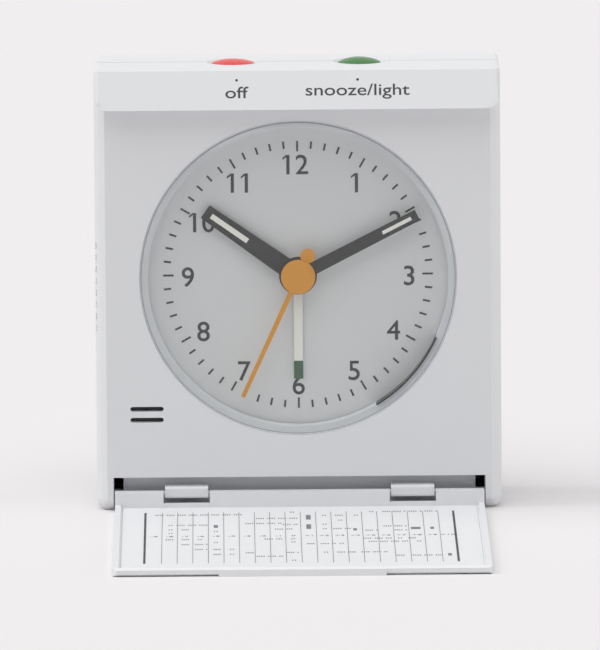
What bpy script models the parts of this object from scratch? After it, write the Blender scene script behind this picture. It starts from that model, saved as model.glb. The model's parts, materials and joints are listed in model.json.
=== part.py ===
"""Travel alarm clock with a fold-down front cover, modelled piece by piece.

Lengths are in metres and +Z is up. The clock stands on the plane Z = 0 and faces -Y.
The origin is the middle of the underside of its body. Hands show 10:10:34 and the
cover lies open in front of the clock.
"""
import math

import bmesh
import bpy
from mathutils import Matrix, Vector

# Body
CHEEK_WIDTH = 0.0086
CHIN_HEIGHT = 0.0147
BROW_HEIGHT = 0.0028
FRONT_SHELL_DEPTH = 0.0118
WALL = 0.0018
CORNER_ROUND = 0.0022
TOP_CORNER_ROUND = 0.0008
FACE_BEVEL = 0.00195
FACE_BEVEL_SHARES = ((1, 0), (0.44, 0.44), (0, 1))
BACK_ROUND = 0.0040
BACK_ROUND_SHARES = ((1, 0), (0.5, 0.134), (0.134, 0.5), (0, 1))
TIGHT_CORNER = 0.0003
ROUND_PROFILE = 0.5
HEADER_HEIGHT = 0.00725
HEADER_REACH = 0.0033
HEADER_INSET = 0.0004
HEADER_CORNER = 0.0019
HEADER_END_ROUND = 0.0012
CREST_DROP = 0.0002
ROOF_DROP = 0.00002

# Clearances and working amounts
FIT = 0.0003
OVERLAP = 0.0004
OVERRUN = 0.0020
WELD = 0.000005

# Dial, lens and hands
LENS_RADIUS = 0.0299
LENS_RISE = 0.0006
LENS_EDGE_RISE = 0.0001
LENS_BEVEL = 0.0015
LENS_SEAT = 0.0011
LENS_LEDGE = 0.0014
WELL_WALL = 0.0015
WELL_DEPTH = 0.0049
DIAL_THICKNESS = 0.0005
DIAL_MARGIN = 0.0012
HAND_THICKNESS = 0.00035
HAND_STEP = 0.0008
FIRST_HAND_GAP = 0.0004
TUBE_PROUD = 0.0001
TIME_HOUR_ANGLE = 305.3
TIME_MINUTE_ANGLE = 63.0
TIME_SECOND_ANGLE = 204.8
ALARM_ANGLE = 180.0
HOUR_HAND_CLEAR = 0.0071
HOUR_HAND_ROOT = 0.0036
HOUR_HAND_TIP = 0.0029
HOUR_HUB_RADIUS = 0.0036
MINUTE_HAND_CLEAR = 0.0031
MINUTE_HAND_ROOT = 0.0024
MINUTE_HAND_TIP = 0.0022
MINUTE_HUB_RADIUS = 0.0034
SECOND_HAND_CLEAR = 0.0032
SECOND_HAND_ROOT = 0.0010
SECOND_HAND_TIP = 0.00075
SECOND_DISC_RADIUS = 0.00326
SECOND_DISC_THICKNESS = 0.0007
SECOND_KNOB_RADIUS = 0.0014
SECOND_KNOB_OFFSET = 0.0044
SECOND_DISC_LAP = 0.0001
ALARM_HAND_CLEAR = 0.0087
ALARM_HAND_ROOT = 0.00175
ALARM_HAND_TIP = 0.0016
ALARM_HUB_RADIUS = 0.0036

# Nested arbors, each one inside the next
SECOND_ARBOR_RADIUS = 0.00035
TUBE_WALL = 0.0003
TUBE_PLAY = 0.0003

# Lamp window in the wall of the dial well
WINDOW_FROM_ANGLE = 114.0
WINDOW_TO_ANGLE = 149.0
WINDOW_MARGIN = 0.0005
LAMP_RADIUS = 0.0015
LAMP_LENGTH = 0.0042
LAMP_SET_OUT = 0.0015
LAMP_BOARD_LENGTH = 0.0080
LAMP_BOARD_THICKNESS = 0.0008

# Sound openings
SLOT_LENGTH = 0.00636
SLOT_HEIGHT = 0.00093
SLOT_PITCH = 0.0021
SLOT_INSET = 0.0096
SLOT_Z = 0.01855
GRILLE_COUNT = 8
GRILLE_PITCH = 0.00226
GRILLE_DROP = 0.0017
GRILLE_BAR = 0.00116
GRILLE_DEPTH = 0.0064
GRILLE_SETBACK = 0.0016
SOUNDER_RADIUS = 0.0045
SOUNDER_HEIGHT = 0.0040
SOUNDER_HOLE_RADIUS = 0.0009
SOUNDER_HOLE_DEPTH = 0.0012

# Cover hinge and cover
HINGE_Z = 0.00313
HINGE_SETBACK = 0.0002
RECESS_HEIGHT = 0.00645
JAW_WIDTH = 0.0031
RECESS_DEPTH = 0.0038
RELIEF_WIDTH = 0.0018
RELIEF_INSET = 0.0001
RELIEF_HEIGHT = 0.0029
RELIEF_Z = 0.0048
LUG_INSET = 0.0139
LUG_WIDTH = 0.0082
LUG_REACH = 0.0016
LUG_RISE = 0.0016
LUG_CORNER = 0.0004
LUG_LIP_SHARE = 0.5
LUG_ARM_DROP = 0.0006
PIN_RADIUS = 0.0007
COVER_THICKNESS = 0.00152
COVER_BELOW_AXIS = 0.00151
BAR_REACH = 0.00307
BAR_ABOVE_AXIS = 0.00078
BAR_HEEL_DROP = 0.0012
COVER_CORNER = 0.0012
SILL_DROP = 0.0013
RIM_WIDTH = 0.0011
RIM_RISE = 0.00055
LIP_WIDTH = 0.0310
LIP_LENGTH = 0.0011
LIP_PROUD = 0.0003
LIP_STEP = 0.00035
CARD_MARGIN = 0.0003
CARD_THICKNESS = 0.0002

# Push buttons
BUTTON_X = 0.0120
BUTTON_RADIUS = 0.0040
BUTTON_ROUND = 0.0004
BUTTON_CROWN = 0.00015
BUTTON_CROWN_SHARES = (0, 0.5)
OFF_BUTTON_RISE = 0.00035
SNOOZE_BUTTON_RISE = 0.0006
BUTTON_FLANGE = 0.0012
BUTTON_FLANGE_THICKNESS = 0.0009
BUTTON_STEM_RADIUS = 0.0013
BUTTON_TRAVEL = 0.0008
DISH_RADIUS = 0.0050
DISH_DEPTH = 0.0005
SPRING_WIRE = 0.0005
SPRING_RADIUS = 0.0025
SPRING_TURNS = 4
SPRING_LENGTH = 0.0051
DOME_RADIUS = 0.0015
DOME_HEIGHT = 0.0004
SWITCH_BOARD_WIDTH = 0.0400
SWITCH_BOARD_DEPTH = 0.0120
SWITCH_BOARD_THICKNESS = 0.0010
SHELF_THICKNESS = 0.0012
SHELF_MARGIN = 0.0010
SHELF_REACH = 0.0045

# Movement
MOVEMENT_HEIGHT = 0.0426
MOVEMENT_SIDE_ROOM = 0.0019
MOVEMENT_END_ROOM = 0.0012
MOVEMENT_PLATE = 0.0012
MOVEMENT_DEPTH = 0.0100
MOVEMENT_WALL = 0.0012
MOVEMENT_CORNER = 0.0030
EAR_MARGIN = 0.0013
EAR_HEIGHT = 0.0060
EAR_END_MARGIN = 0.0037
EAR_SCREW_INSET = 0.0055
EAR_BOSS_RADIUS = 0.0024
SMALL_SCREW_RADIUS = 0.0007
SMALL_SCREW_HEAD = 0.0016
SMALL_SCREW_HEAD_HEIGHT = 0.0010
SMALL_SCREW_LENGTH = 0.0045
MOTION_MODULE = 0.0005
WHEEL_THICKNESS = 0.0008
WHEEL_GAP = 0.0004
SET_SHAFT_RADIUS = 0.0009
CANNON_TEETH = 12
MINUTE_TEETH = 36
SET_PINION_TEETH = 10
HOUR_TEETH = 40
ALARM_TEETH = 36
ALARM_PINION_TEETH = 12
TOOTH_TIP_SHARE = 0.8
TOOTH_ROOT_SHARE = 1.1
TOOTH_TIP_HALF_SHARE = 0.11
TOOTH_ROOT_HALF_SHARE = 0.29
SECOND_WHEEL_RADIUS = 0.0060
BOARD_HEIGHT = 0.0100
BOARD_MARGIN = 0.0033
BOARD_THICKNESS = 0.0008
COIL_RADIUS = 0.0026
COIL_CORE_RADIUS = 0.0010
COIL_LENGTH = 0.0150
COIL_FLANGE = 0.0008
COIL_DROP = 0.0015
CRYSTAL_RADIUS = 0.0010
CRYSTAL_LENGTH = 0.0060

# Setting knobs in their pockets at the back
KNOB_CLEARANCE = 0.0016
KNOB_PROUD = 0.0020
KNOB_GROOVES = 16
KNOB_GROOVE_DEPTH = 0.0004
KNOB_GROOVE_SHARES = (0.0, 0.5, 0.62, 0.88)
POCKET_RADIUS = 0.0078
POCKET_DEPTH = 0.0030
POCKET_WALL = 0.0014

# Battery, its bay and its sliding door
BATTERY_RADIUS = 0.00725
BATTERY_LENGTH = 0.0505
BATTERY_NUB_RADIUS = 0.0027
BATTERY_NUB_LENGTH = 0.0012
BATTERY_PLAY = 0.0004
BAY_FLOOR_Z = 0.0055
BAY_WALL = 0.0012
BAY_SETBACK = 0.0024
CONTACT_THICKNESS = 0.0004
CONTACT_WIDTH = 0.0090
CONTACT_SPRING_RADIUS = 0.0030
CONTACT_SPRING_TIP_RADIUS = 0.0016
CONTACT_SPRING_LENGTH = 0.0022
CONTACT_SPRING_TURNS = 3
DOOR_THICKNESS = 0.0012
DOOR_LAP = 0.0024
DOOR_TRAVEL = 0.0042
DOOR_TONGUE = 0.0008
DOOR_TONGUE_THICKNESS = 0.0004
DOOR_FRAME = 0.0020
DOOR_RIB_COUNT = 3
DOOR_RIB_PITCH = 0.0016
DOOR_RIB_WIDTH = 0.0120
DOOR_RIB_DEPTH = 0.0004
DOOR_RIB_HEIGHT = 0.0007

# Case screws
CASE_SCREW_INSET = 0.0043
CASE_SCREW_WALL = 0.0010
CASE_SCREW_LIFT = 0.0008
CASE_SCREW_DROP = 0.0083
CASE_BOSS_RADIUS = 0.0028
CASE_SCREW_RADIUS = 0.0009
CASE_SCREW_HEAD = 0.0019
CASE_SCREW_HEAD_HEIGHT = 0.0012
CASE_SCREW_LENGTH = 0.0120
CASE_SCREW_SEAT = 0.0090

# Numbers of facets
FINE = 56
ROUND = 24
SMALL = 12
ARC_STEPS = 3
COIL_STEPS = 8

# Places that follow from the sizes
WELL_RADIUS = LENS_RADIUS - LENS_LEDGE
HOUR_HAND_LENGTH = WELL_RADIUS - HOUR_HAND_CLEAR
MINUTE_HAND_LENGTH = WELL_RADIUS - MINUTE_HAND_CLEAR
SECOND_HAND_LENGTH = WELL_RADIUS - SECOND_HAND_CLEAR
ALARM_HAND_LENGTH = WELL_RADIUS - ALARM_HAND_CLEAR
BAY_HEIGHT = 2 * (BATTERY_RADIUS + BATTERY_PLAY)
BAY_TOP_Z = BAY_FLOOR_Z + BAY_HEIGHT
BAY_HALF = BATTERY_LENGTH / 2 + CONTACT_SPRING_LENGTH
DOOR_HALF = BAY_HALF + DOOR_LAP
SCREW_BORE = CASE_SCREW_HEAD + FIT
DOOR_SIDE = DOOR_HALF + DOOR_TONGUE + FIT
HALF_WIDTH = max(LENS_RADIUS + CHEEK_WIDTH, DOOR_SIDE + CASE_SCREW_WALL + SCREW_BORE + CASE_SCREW_INSET)
BODY_DEPTH = (RECESS_DEPTH + WALL + BAY_SETBACK + BAY_WALL + BAY_HEIGHT + FIT + DOOR_THICKNESS)
PANEL_Y = -BODY_DEPTH / 2
BACK_Y = BODY_DEPTH / 2
SEAM_Y = PANEL_Y + FRONT_SHELL_DEPTH
PANEL_BACK_Y = PANEL_Y + WALL
BACK_INSIDE_Y = BACK_Y - WALL
DIAL_Z = max(CHIN_HEIGHT + LENS_RADIUS, BAY_TOP_Z + BAY_WALL + MOVEMENT_END_ROOM + MOVEMENT_HEIGHT / 2)
HEADER_Z = DIAL_Z + LENS_RADIUS + BROW_HEIGHT
BODY_HEIGHT = HEADER_Z + HEADER_HEIGHT
HEADER_Y = PANEL_Y - HEADER_REACH
CEILING_Z = BODY_HEIGHT - WALL
GRILLE_Z = DIAL_Z - GRILLE_DROP
SLOT_X = SLOT_INSET - HALF_WIDTH
CASE_SCREW_X = HALF_WIDTH - CASE_SCREW_INSET
CASE_SCREW_LOW_Z = RECESS_HEIGHT + WALL + CASE_SCREW_LIFT + CASE_BOSS_RADIUS
CASE_SCREW_HIGH_Z = BODY_HEIGHT - CASE_SCREW_DROP
RECESS_WIDTH = 2 * (HALF_WIDTH - JAW_WIDTH)
HINGE_Y = PANEL_Y + HINGE_SETBACK
COVER_LENGTH = HEADER_Z - HINGE_Z - LIP_PROUD - FIT
LUG_X = RECESS_WIDTH / 2 - LUG_INSET
RECESS_BACK_Y = PANEL_Y + RECESS_DEPTH
DIAL_Y = PANEL_Y + WELL_DEPTH
WELL_END_Y = DIAL_Y - FIT
PLATE_Y = DIAL_Y + DIAL_THICKNESS + FIT
PLATE_BACK_Y = PLATE_Y + MOVEMENT_PLATE
MINUTE_TUBE_INSIDE = SECOND_ARBOR_RADIUS + TUBE_PLAY
MINUTE_TUBE_RADIUS = MINUTE_TUBE_INSIDE + TUBE_WALL
HOUR_TUBE_INSIDE = MINUTE_TUBE_RADIUS + TUBE_PLAY
HOUR_TUBE_RADIUS = HOUR_TUBE_INSIDE + TUBE_WALL
ALARM_TUBE_INSIDE = HOUR_TUBE_RADIUS + TUBE_PLAY
ALARM_TUBE_RADIUS = ALARM_TUBE_INSIDE + TUBE_WALL
CENTRE_HOLE_RADIUS = ALARM_TUBE_RADIUS + FIT
ALARM_HAND_Y = DIAL_Y - FIRST_HAND_GAP
HOUR_HAND_Y = ALARM_HAND_Y - HAND_STEP
MINUTE_HAND_Y = HOUR_HAND_Y - HAND_STEP
SECOND_HAND_Y = MINUTE_HAND_Y - HAND_STEP
ALARM_WHEEL_Y = PLATE_BACK_Y + WHEEL_GAP
HOUR_WHEEL_Y = ALARM_WHEEL_Y + WHEEL_THICKNESS + WHEEL_GAP
MINUTE_WHEEL_Y = HOUR_WHEEL_Y + WHEEL_THICKNESS + WHEEL_GAP
SECOND_WHEEL_Y = MINUTE_WHEEL_Y + WHEEL_THICKNESS + WHEEL_GAP
COVER_END_Y = PLATE_BACK_Y + MOVEMENT_DEPTH
SET_SPACING = MOTION_MODULE * (CANNON_TEETH + MINUTE_TEETH) / 2
HOUR_MODULE = 2 * SET_SPACING / (HOUR_TEETH + SET_PINION_TEETH)
ALARM_MODULE = 2 * SET_SPACING / (ALARM_TEETH + ALARM_PINION_TEETH)
MINUTE_WHEEL_RADIUS = MOTION_MODULE * (MINUTE_TEETH / 2 + TOOTH_TIP_SHARE)
MOVEMENT_WIDTH = 2 * (SET_SPACING + MINUTE_WHEEL_RADIUS + MOVEMENT_SIDE_ROOM + MOVEMENT_WALL)
BOARD_WIDTH = MOVEMENT_WIDTH - 2 * (MOVEMENT_WALL + BOARD_MARGIN)
EAR_OFFSET = MOVEMENT_HEIGHT / 2 - EAR_END_MARGIN - EAR_HEIGHT / 2
EAR_SPAN = 2 * (HALF_WIDTH - WALL - EAR_MARGIN)
EAR_SCREW_X = HALF_WIDTH - EAR_SCREW_INSET
SHELF_WIDTH = SWITCH_BOARD_WIDTH + 2 * SHELF_MARGIN
KNOB_RADIUS = POCKET_RADIUS - KNOB_CLEARANCE
BATTERY_Z = BAY_FLOOR_Z + BATTERY_PLAY + BATTERY_RADIUS
DOOR_INSIDE_Y = BACK_Y - DOOR_THICKNESS
BATTERY_Y = DOOR_INSIDE_Y - BATTERY_PLAY - BATTERY_RADIUS - FIT
BAY_FRONT_Y = BATTERY_Y - BATTERY_RADIUS - BATTERY_PLAY
DOOR_TOP_Z = BAY_TOP_Z + DOOR_LAP
DOOR_LOW_Z = DOOR_TRAVEL + FIT
KNOB_FLOOR_Y = BACK_Y - POCKET_DEPTH
FLANGE_Z = CEILING_Z - FIT
FLANGE_LOW_Z = FLANGE_Z - BUTTON_FLANGE_THICKNESS
SWITCH_BOARD_Z = FLANGE_LOW_Z - FIT - SPRING_LENGTH - FIT
STEM_END_Z = SWITCH_BOARD_Z + DOME_HEIGHT + FIT + FIT + BUTTON_TRAVEL

# Directions in which an outline is looked at: from the side, the front and above
SIDE = Matrix(((0, 0, 1), (1, 0, 0), (0, 1, 0)))
FRONT = Matrix(((1, 0, 0), (0, 0, -1), (0, 1, 0)))
PLAN = Matrix.Identity(3)

# Colour, roughness and metallic value of each finish
FINISHES = {
    "white_plastic": ((0.80, 0.80, 0.79), 0.38, 0.0),
    "cover_plastic": ((0.82, 0.82, 0.81), 0.35, 0.0),
    "clear_plastic": ((0.90, 0.92, 0.92), 0.05, 0.0),
    "dial_print": ((0.52, 0.52, 0.52), 0.60, 0.0),
    "card": ((0.84, 0.84, 0.82), 0.65, 0.0),
    "black_paint": ((0.02, 0.02, 0.02), 0.45, 0.0),
    "cream_paint": ((0.66, 0.65, 0.58), 0.55, 0.0),
    "yellow_paint": ((0.72, 0.42, 0.04), 0.45, 0.0),
    "red_plastic": ((0.75, 0.10, 0.08), 0.35, 0.0),
    "green_plastic": ((0.06, 0.22, 0.07), 0.35, 0.0),
    "grey_plastic": ((0.12, 0.12, 0.13), 0.50, 0.0),
    "natural_plastic": ((0.74, 0.72, 0.66), 0.45, 0.0),
    "board": ((0.05, 0.18, 0.08), 0.50, 0.0),
    "copper": ((0.62, 0.28, 0.14), 0.35, 1.0),
    "steel": ((0.62, 0.62, 0.62), 0.30, 1.0),
    "brass": ((0.70, 0.52, 0.22), 0.30, 1.0),
    "cell_jacket": ((0.05, 0.05, 0.06), 0.40, 0.0),
}


def new_collection(name):
    collection = bpy.data.collections.new(name)
    bpy.context.scene.collection.children.link(collection)
    return collection


for old in list(bpy.data.objects):
    bpy.data.objects.remove(old)
PARTS = new_collection("travel_alarm_clock")
CUTTERS = new_collection("cutters")


def add_object(name, bm):
    """File a finished bmesh as an object among the guides."""
    mesh = bpy.data.meshes.new(name)
    bmesh.ops.recalc_face_normals(bm, faces=bm.faces)
    bm.to_mesh(mesh)
    bm.free()
    obj = bpy.data.objects.new(name, mesh)
    obj.hide_render = True
    obj.display_type = "WIRE"
    CUTTERS.objects.link(obj)
    return obj


def settle(obj):
    """Swap an object for a welded mesh of its evaluated shape, in world coordinates."""
    bpy.context.view_layer.update()
    graph = bpy.context.evaluated_depsgraph_get()
    mesh = bpy.data.meshes.new_from_object(obj.evaluated_get(graph))
    mesh.transform(obj.matrix_world)
    name = obj.name
    bpy.data.objects.remove(obj)
    bm = bmesh.new()
    bm.from_mesh(mesh)
    bpy.data.meshes.remove(mesh)
    bmesh.ops.remove_doubles(bm, verts=bm.verts, dist=WELD)
    return add_object(name, bm)


def gather(name, pieces):
    """Join separate pieces into one object."""
    bm = bmesh.new()
    for piece in pieces:
        bm.from_mesh(piece.data)
        bpy.data.objects.remove(piece)
    return add_object(name, bm)


def box(name, low, high):
    """A box between two opposite corners."""
    bm = bmesh.new()
    bmesh.ops.create_cube(bm, size=1)
    size = [top - bottom for bottom, top in zip(low, high)]
    middle = [(top + bottom) / 2 for bottom, top in zip(low, high)]
    bmesh.ops.scale(bm, vec=size, verts=bm.verts)
    bmesh.ops.translate(bm, vec=middle, verts=bm.verts)
    return add_object(name, bm)


def cylinder(name, centre, radius, low, high, axis, segments=ROUND):
    """A cylinder along a world axis; centre gives the other two coordinates in order."""
    bm = bmesh.new()
    bmesh.ops.create_cone(bm, cap_ends=True, segments=segments, radius1=radius,
                          radius2=radius, depth=high - low)
    first, second = centre
    middle = (low + high) / 2
    if axis == "X":
        turn, place = Matrix.Rotation(math.radians(90), 3, "Y"), (middle, first, second)
    elif axis == "Y":
        turn, place = Matrix.Rotation(math.radians(90), 3, "X"), (first, middle, second)
    else:
        turn, place = Matrix.Identity(3), (first, second, middle)
    bmesh.ops.rotate(bm, matrix=turn, verts=bm.verts)
    bmesh.ops.translate(bm, vec=place, verts=bm.verts)
    return add_object(name, bm)


def circle(radius, segments=ROUND, centre=(0, 0)):
    """Points of a circular outline."""
    step = math.tau / segments
    return [(centre[0] + radius * math.cos(step * index), centre[1] + radius * math.sin(step * index))
            for index in range(segments)]


def arc(centre, radius, start, stop, steps):
    """Points of an arc between two angles in degrees, ends included."""
    angles = [math.radians(start + (stop - start) * index / steps) for index in range(steps + 1)]
    return [(centre[0] + radius * math.cos(a), centre[1] + radius * math.sin(a)) for a in angles]


def rectangle(left, low, right, high, radius=0, top_radius=0):
    """A rectangle outline, with rounded corners where a radius is given, the top ones their own."""
    if not radius:
        return [(left, low), (right, low), (right, high), (left, high)]
    top = top_radius or radius
    corners = ((right - radius, low + radius, radius, -90), (right - top, high - top, top, 0),
               (left + top, high - top, top, 90), (left + radius, low + radius, radius, 180))
    points = []
    for across, up, size, start in corners:
        points += arc((across, up), size, start, start + 90, ARC_STEPS)
    return points


def prism(name, outlines, low, high, view):
    """Extrude flat outlines, the later ones holes, between two planes of the view's axis."""
    curve = bpy.data.curves.new(name, "CURVE")
    curve.dimensions = "2D"
    curve.fill_mode = "BOTH"
    curve.extrude = abs(high - low) / 2
    for outline in outlines:
        spline = curve.splines.new("POLY")
        spline.points.add(len(outline) - 1)
        for point, (across, up) in zip(spline.points, outline):
            point.co = (across, up, 0, 1)
        spline.use_cyclic_u = True
    obj = bpy.data.objects.new(name, curve)
    CUTTERS.objects.link(obj)
    along = view.col[2].normalized() * ((low + high) / 2)
    if view == FRONT:
        along = -along
    obj.matrix_world = Matrix.Translation(along) @ view.to_4x4()
    return settle(obj)


def loft(name, rings):
    """Bridge equal outlines, each on its own plane across Y, into one closed block."""
    bm = bmesh.new()
    loops = []
    for y, outline in rings:
        verts = [bm.verts.new((x, y, z)) for x, z in outline]
        loops.append([bm.edges.new((verts[index - 1], vert)) for index, vert in enumerate(verts)])
    for near, far in zip(loops, loops[1:]):
        bmesh.ops.bridge_loops(bm, edges=near + far)
    bmesh.ops.contextual_create(bm, geom=loops[0])
    bmesh.ops.contextual_create(bm, geom=loops[-1])
    return add_object(name, bm)


def turned(name, profile, place, view, segments=ROUND):
    """Turn a profile of (radius, height) points; the height runs along the view's axis."""
    mesh = bpy.data.meshes.new(name)
    count = len(profile)
    closed = all(radius > 0 for radius, height in profile)
    edges = [(index, index + 1) for index in range(count - 1)]
    if closed:
        edges.append((count - 1, 0))
    mesh.from_pydata([(radius, 0, height) for radius, height in profile], edges, [])
    obj = bpy.data.objects.new(name, mesh)
    CUTTERS.objects.link(obj)
    screw = obj.modifiers.new("turn", "SCREW")
    screw.steps = segments
    screw.render_steps = segments
    screw.use_merge_vertices = True
    screw.merge_threshold = WELD
    obj.matrix_world = Matrix.Translation(place) @ view.to_4x4()
    return settle(obj)


def coil(name, centre, radii, low, high, turns, wire, view=PLAN):
    """A coil spring of round wire that narrows or widens from one radius to the other."""
    steps = turns * COIL_STEPS
    curve = bpy.data.curves.new(name, "CURVE")
    curve.dimensions = "3D"
    curve.bevel_depth = wire / 2
    curve.bevel_resolution = 2
    curve.use_fill_caps = True
    spline = curve.splines.new("POLY")
    spline.points.add(steps)
    for index, point in enumerate(spline.points):
        share = index / steps
        angle = math.tau * index / COIL_STEPS
        radius = radii[0] + (radii[1] - radii[0]) * share
        height = low + (high - low) * share
        point.co = (radius * math.cos(angle), radius * math.sin(angle), height, 1)
    obj = bpy.data.objects.new(name, curve)
    CUTTERS.objects.link(obj)
    obj.matrix_world = Matrix.Translation(centre) @ view.to_4x4()
    return settle(obj)


def round_edges(obj, radius, segments, chosen):
    """Round the edges that the test picks by their two end points."""
    bm = bmesh.new()
    bm.from_mesh(obj.data)
    edges = [edge for edge in bm.edges if chosen(edge.verts[0].co, edge.verts[1].co)]
    bmesh.ops.bevel(bm, geom=edges, offset=radius, offset_type="OFFSET", segments=segments,
                    profile=ROUND_PROFILE, affect="EDGES", clamp_overlap=True)
    bmesh.ops.remove_doubles(bm, verts=bm.verts, dist=WELD)
    bm.to_mesh(obj.data)
    bm.free()


def combine(body, tools, operation):
    for tool in tools:
        modifier = body.modifiers.new(tool.name, "BOOLEAN")
        modifier.operation = operation
        modifier.solver = "EXACT"
        modifier.object = tool


def cut(body, *tools):
    combine(body, tools, "DIFFERENCE")


def fuse(body, *tools):
    combine(body, tools, "UNION")


def part(obj, finish, pivot=None):
    """Dress a finished piece, file it with the parts and hang it on its pivot."""
    colour, roughness, metallic = FINISHES[finish]
    material = bpy.data.materials.new(obj.name)
    material.use_nodes = True
    shader = material.node_tree.nodes["Principled BSDF"]
    shader.inputs["Base Color"].default_value = (*colour, 1)
    shader.inputs["Roughness"].default_value = roughness
    shader.inputs["Metallic"].default_value = metallic
    material.diffuse_color = (*colour, 1)
    obj.data.materials.clear()
    obj.data.materials.append(material)
    obj.data.shade_smooth()
    obj.data.set_sharp_from_angle(angle=math.radians(35))
    obj.hide_render = False
    obj.display_type = "TEXTURED"
    CUTTERS.objects.unlink(obj)
    PARTS.objects.link(obj)
    if pivot:
        obj.parent = pivot
        obj.matrix_parent_inverse = Matrix.Translation(pivot.location).inverted()
    return obj


def add_pivot(name, place):
    """An empty on the axis of a moving body."""
    empty = bpy.data.objects.new(name, None)
    empty.location = place
    PARTS.objects.link(empty)
    return empty


def clock_point(radius, degrees):
    """X and Z of a point on the dial, by its clock angle from twelve."""
    angle = math.radians(degrees)
    return radius * math.sin(angle), DIAL_Z + radius * math.cos(angle)


def turn_outline(outline, degrees, centre=(0, DIAL_Z)):
    """Turn an outline that points up clockwise and set it on its centre."""
    angle = math.radians(degrees)
    return [(centre[0] + across * math.cos(angle) + up * math.sin(angle),
             centre[1] - across * math.sin(angle) + up * math.cos(angle))
            for across, up in outline]


# Shells

def corner_places():
    """X and Z of the four case screws."""
    return [(side * CASE_SCREW_X, height) for side in (-1, 1)
            for height in (CASE_SCREW_LOW_Z, CASE_SCREW_HIGH_Z)]


def ear_places():
    """X and Z of the four movement screws."""
    return [(side * EAR_SCREW_X, DIAL_Z + level * EAR_OFFSET) for side in (-1, 1) for level in (-1, 1)]


def pillars(name, places, radius, low, high, segments=SMALL):
    """Equal cylinders along Y, in one object."""
    return gather(name, [cylinder(name, place, radius, low, high, "Y", segments) for place in places])


def button_bores(name):
    """The two stepped button holes with their shallow dishes."""
    bore = BUTTON_RADIUS + FIT
    top = BODY_HEIGHT + OVERRUN
    mouth = DISH_RADIUS + (DISH_RADIUS - bore) * OVERRUN / DISH_DEPTH
    profile = [(0, top), (mouth, top), (bore, BODY_HEIGHT - DISH_DEPTH), (bore, CEILING_Z - OVERRUN),
               (0, CEILING_Z - OVERRUN)]
    return gather(name, [turned(name, profile, (side * BUTTON_X, SEAM_Y, 0), PLAN) for side in (-1, 1)])


def hinge_lugs():
    """Two flat-fronted hooks that reach over the cover's pins from behind."""
    inner = PIN_RADIUS + FIT
    axis = (HINGE_Y, HINGE_Z)
    back = RECESS_BACK_Y + OVERLAP
    front = HINGE_Y - LUG_REACH + LUG_CORNER
    lip_drop = inner * LUG_LIP_SHARE
    lip_angle = 180 + math.degrees(math.asin(LUG_LIP_SHARE))
    outline = [(back, HINGE_Z - LUG_ARM_DROP), (back, HINGE_Z + LUG_RISE)]
    outline += arc((front, HINGE_Z + LUG_RISE - LUG_CORNER), LUG_CORNER, 90, 180, ARC_STEPS)
    outline += arc((front, HINGE_Z - lip_drop + LUG_CORNER), LUG_CORNER, 180, 270, ARC_STEPS)
    outline += arc(axis, inner, lip_angle, 0, ARC_STEPS * 3)
    outline += [(HINGE_Y + inner, HINGE_Z - LUG_ARM_DROP)]
    half = LUG_WIDTH / 2
    return gather("hinge_lugs", [prism("lug", [outline], side * LUG_X - half, side * LUG_X + half, SIDE)
                                 for side in (-1, 1)])


def front_hollow():
    """The inside of the front shell, which steps back over the cover's recess."""
    ledge_z = RECESS_HEIGHT + WALL
    ledge_y = RECESS_BACK_Y + WALL
    inside = HALF_WIDTH - WALL
    outline = [(SEAM_Y + OVERRUN, WALL), (ledge_y, WALL), (ledge_y, ledge_z), (PANEL_BACK_Y, ledge_z),
               (PANEL_BACK_Y, CEILING_Z), (SEAM_Y + OVERRUN, CEILING_Z)]
    return prism("front_hollow", [outline], -inside, inside, SIDE)


def header():
    """The sloped strip over the dial, its lower corners and the rims of its ends rounded."""
    half = HALF_WIDTH - HEADER_INSET
    inside = PANEL_BACK_Y - OVERLAP / 2
    under_top = CEILING_Z + WALL / 2
    roof_y = PANEL_Y + FACE_BEVEL + OVERLAP
    crest_z = BODY_HEIGHT - CREST_DROP
    outline = [(inside, HEADER_Z), (HEADER_Y, HEADER_Z), (PANEL_Y, crest_z),
               (roof_y, BODY_HEIGHT - ROOF_DROP), (roof_y, under_top), (inside, under_top)]
    strip = prism("header", [outline], -half, half, SIDE)
    round_edges(strip, HEADER_CORNER, ARC_STEPS,
                lambda a, b: abs(a.x - b.x) < WELD and max(a.z, b.z) < HEADER_Z + WELD)
    lean = HEADER_REACH / (crest_z - HEADER_Z)
    round_edges(strip, HEADER_END_ROUND, ARC_STEPS - 1,
                lambda a, b: abs(a.z - b.z) > WELD and all(
                    abs(v.y - HEADER_Y - (v.z - HEADER_Z) * lean) < WELD for v in (a, b)))
    return strip


def shell_outline(inset):
    """The case seen from the front, drawn in by the inset, its lower corners the rounder ones."""
    side = HALF_WIDTH - inset
    return rectangle(-side, inset, side, BODY_HEIGHT - inset, max(CORNER_ROUND - inset, TIGHT_CORNER),
                     max(TOP_CORNER_ROUND - inset, TIGHT_CORNER))


def rounded_shell(name, face_y, seam_y, rim, shares):
    """A shell's outer block, its rim given as shares of (depth behind the face, inset)."""
    inward = math.copysign(rim, seam_y - face_y)
    rings = [(seam_y, shell_outline(0))]
    rings += [(face_y + inward * depth, shell_outline(rim * inset)) for depth, inset in shares]
    return loft(name, rings)


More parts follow.
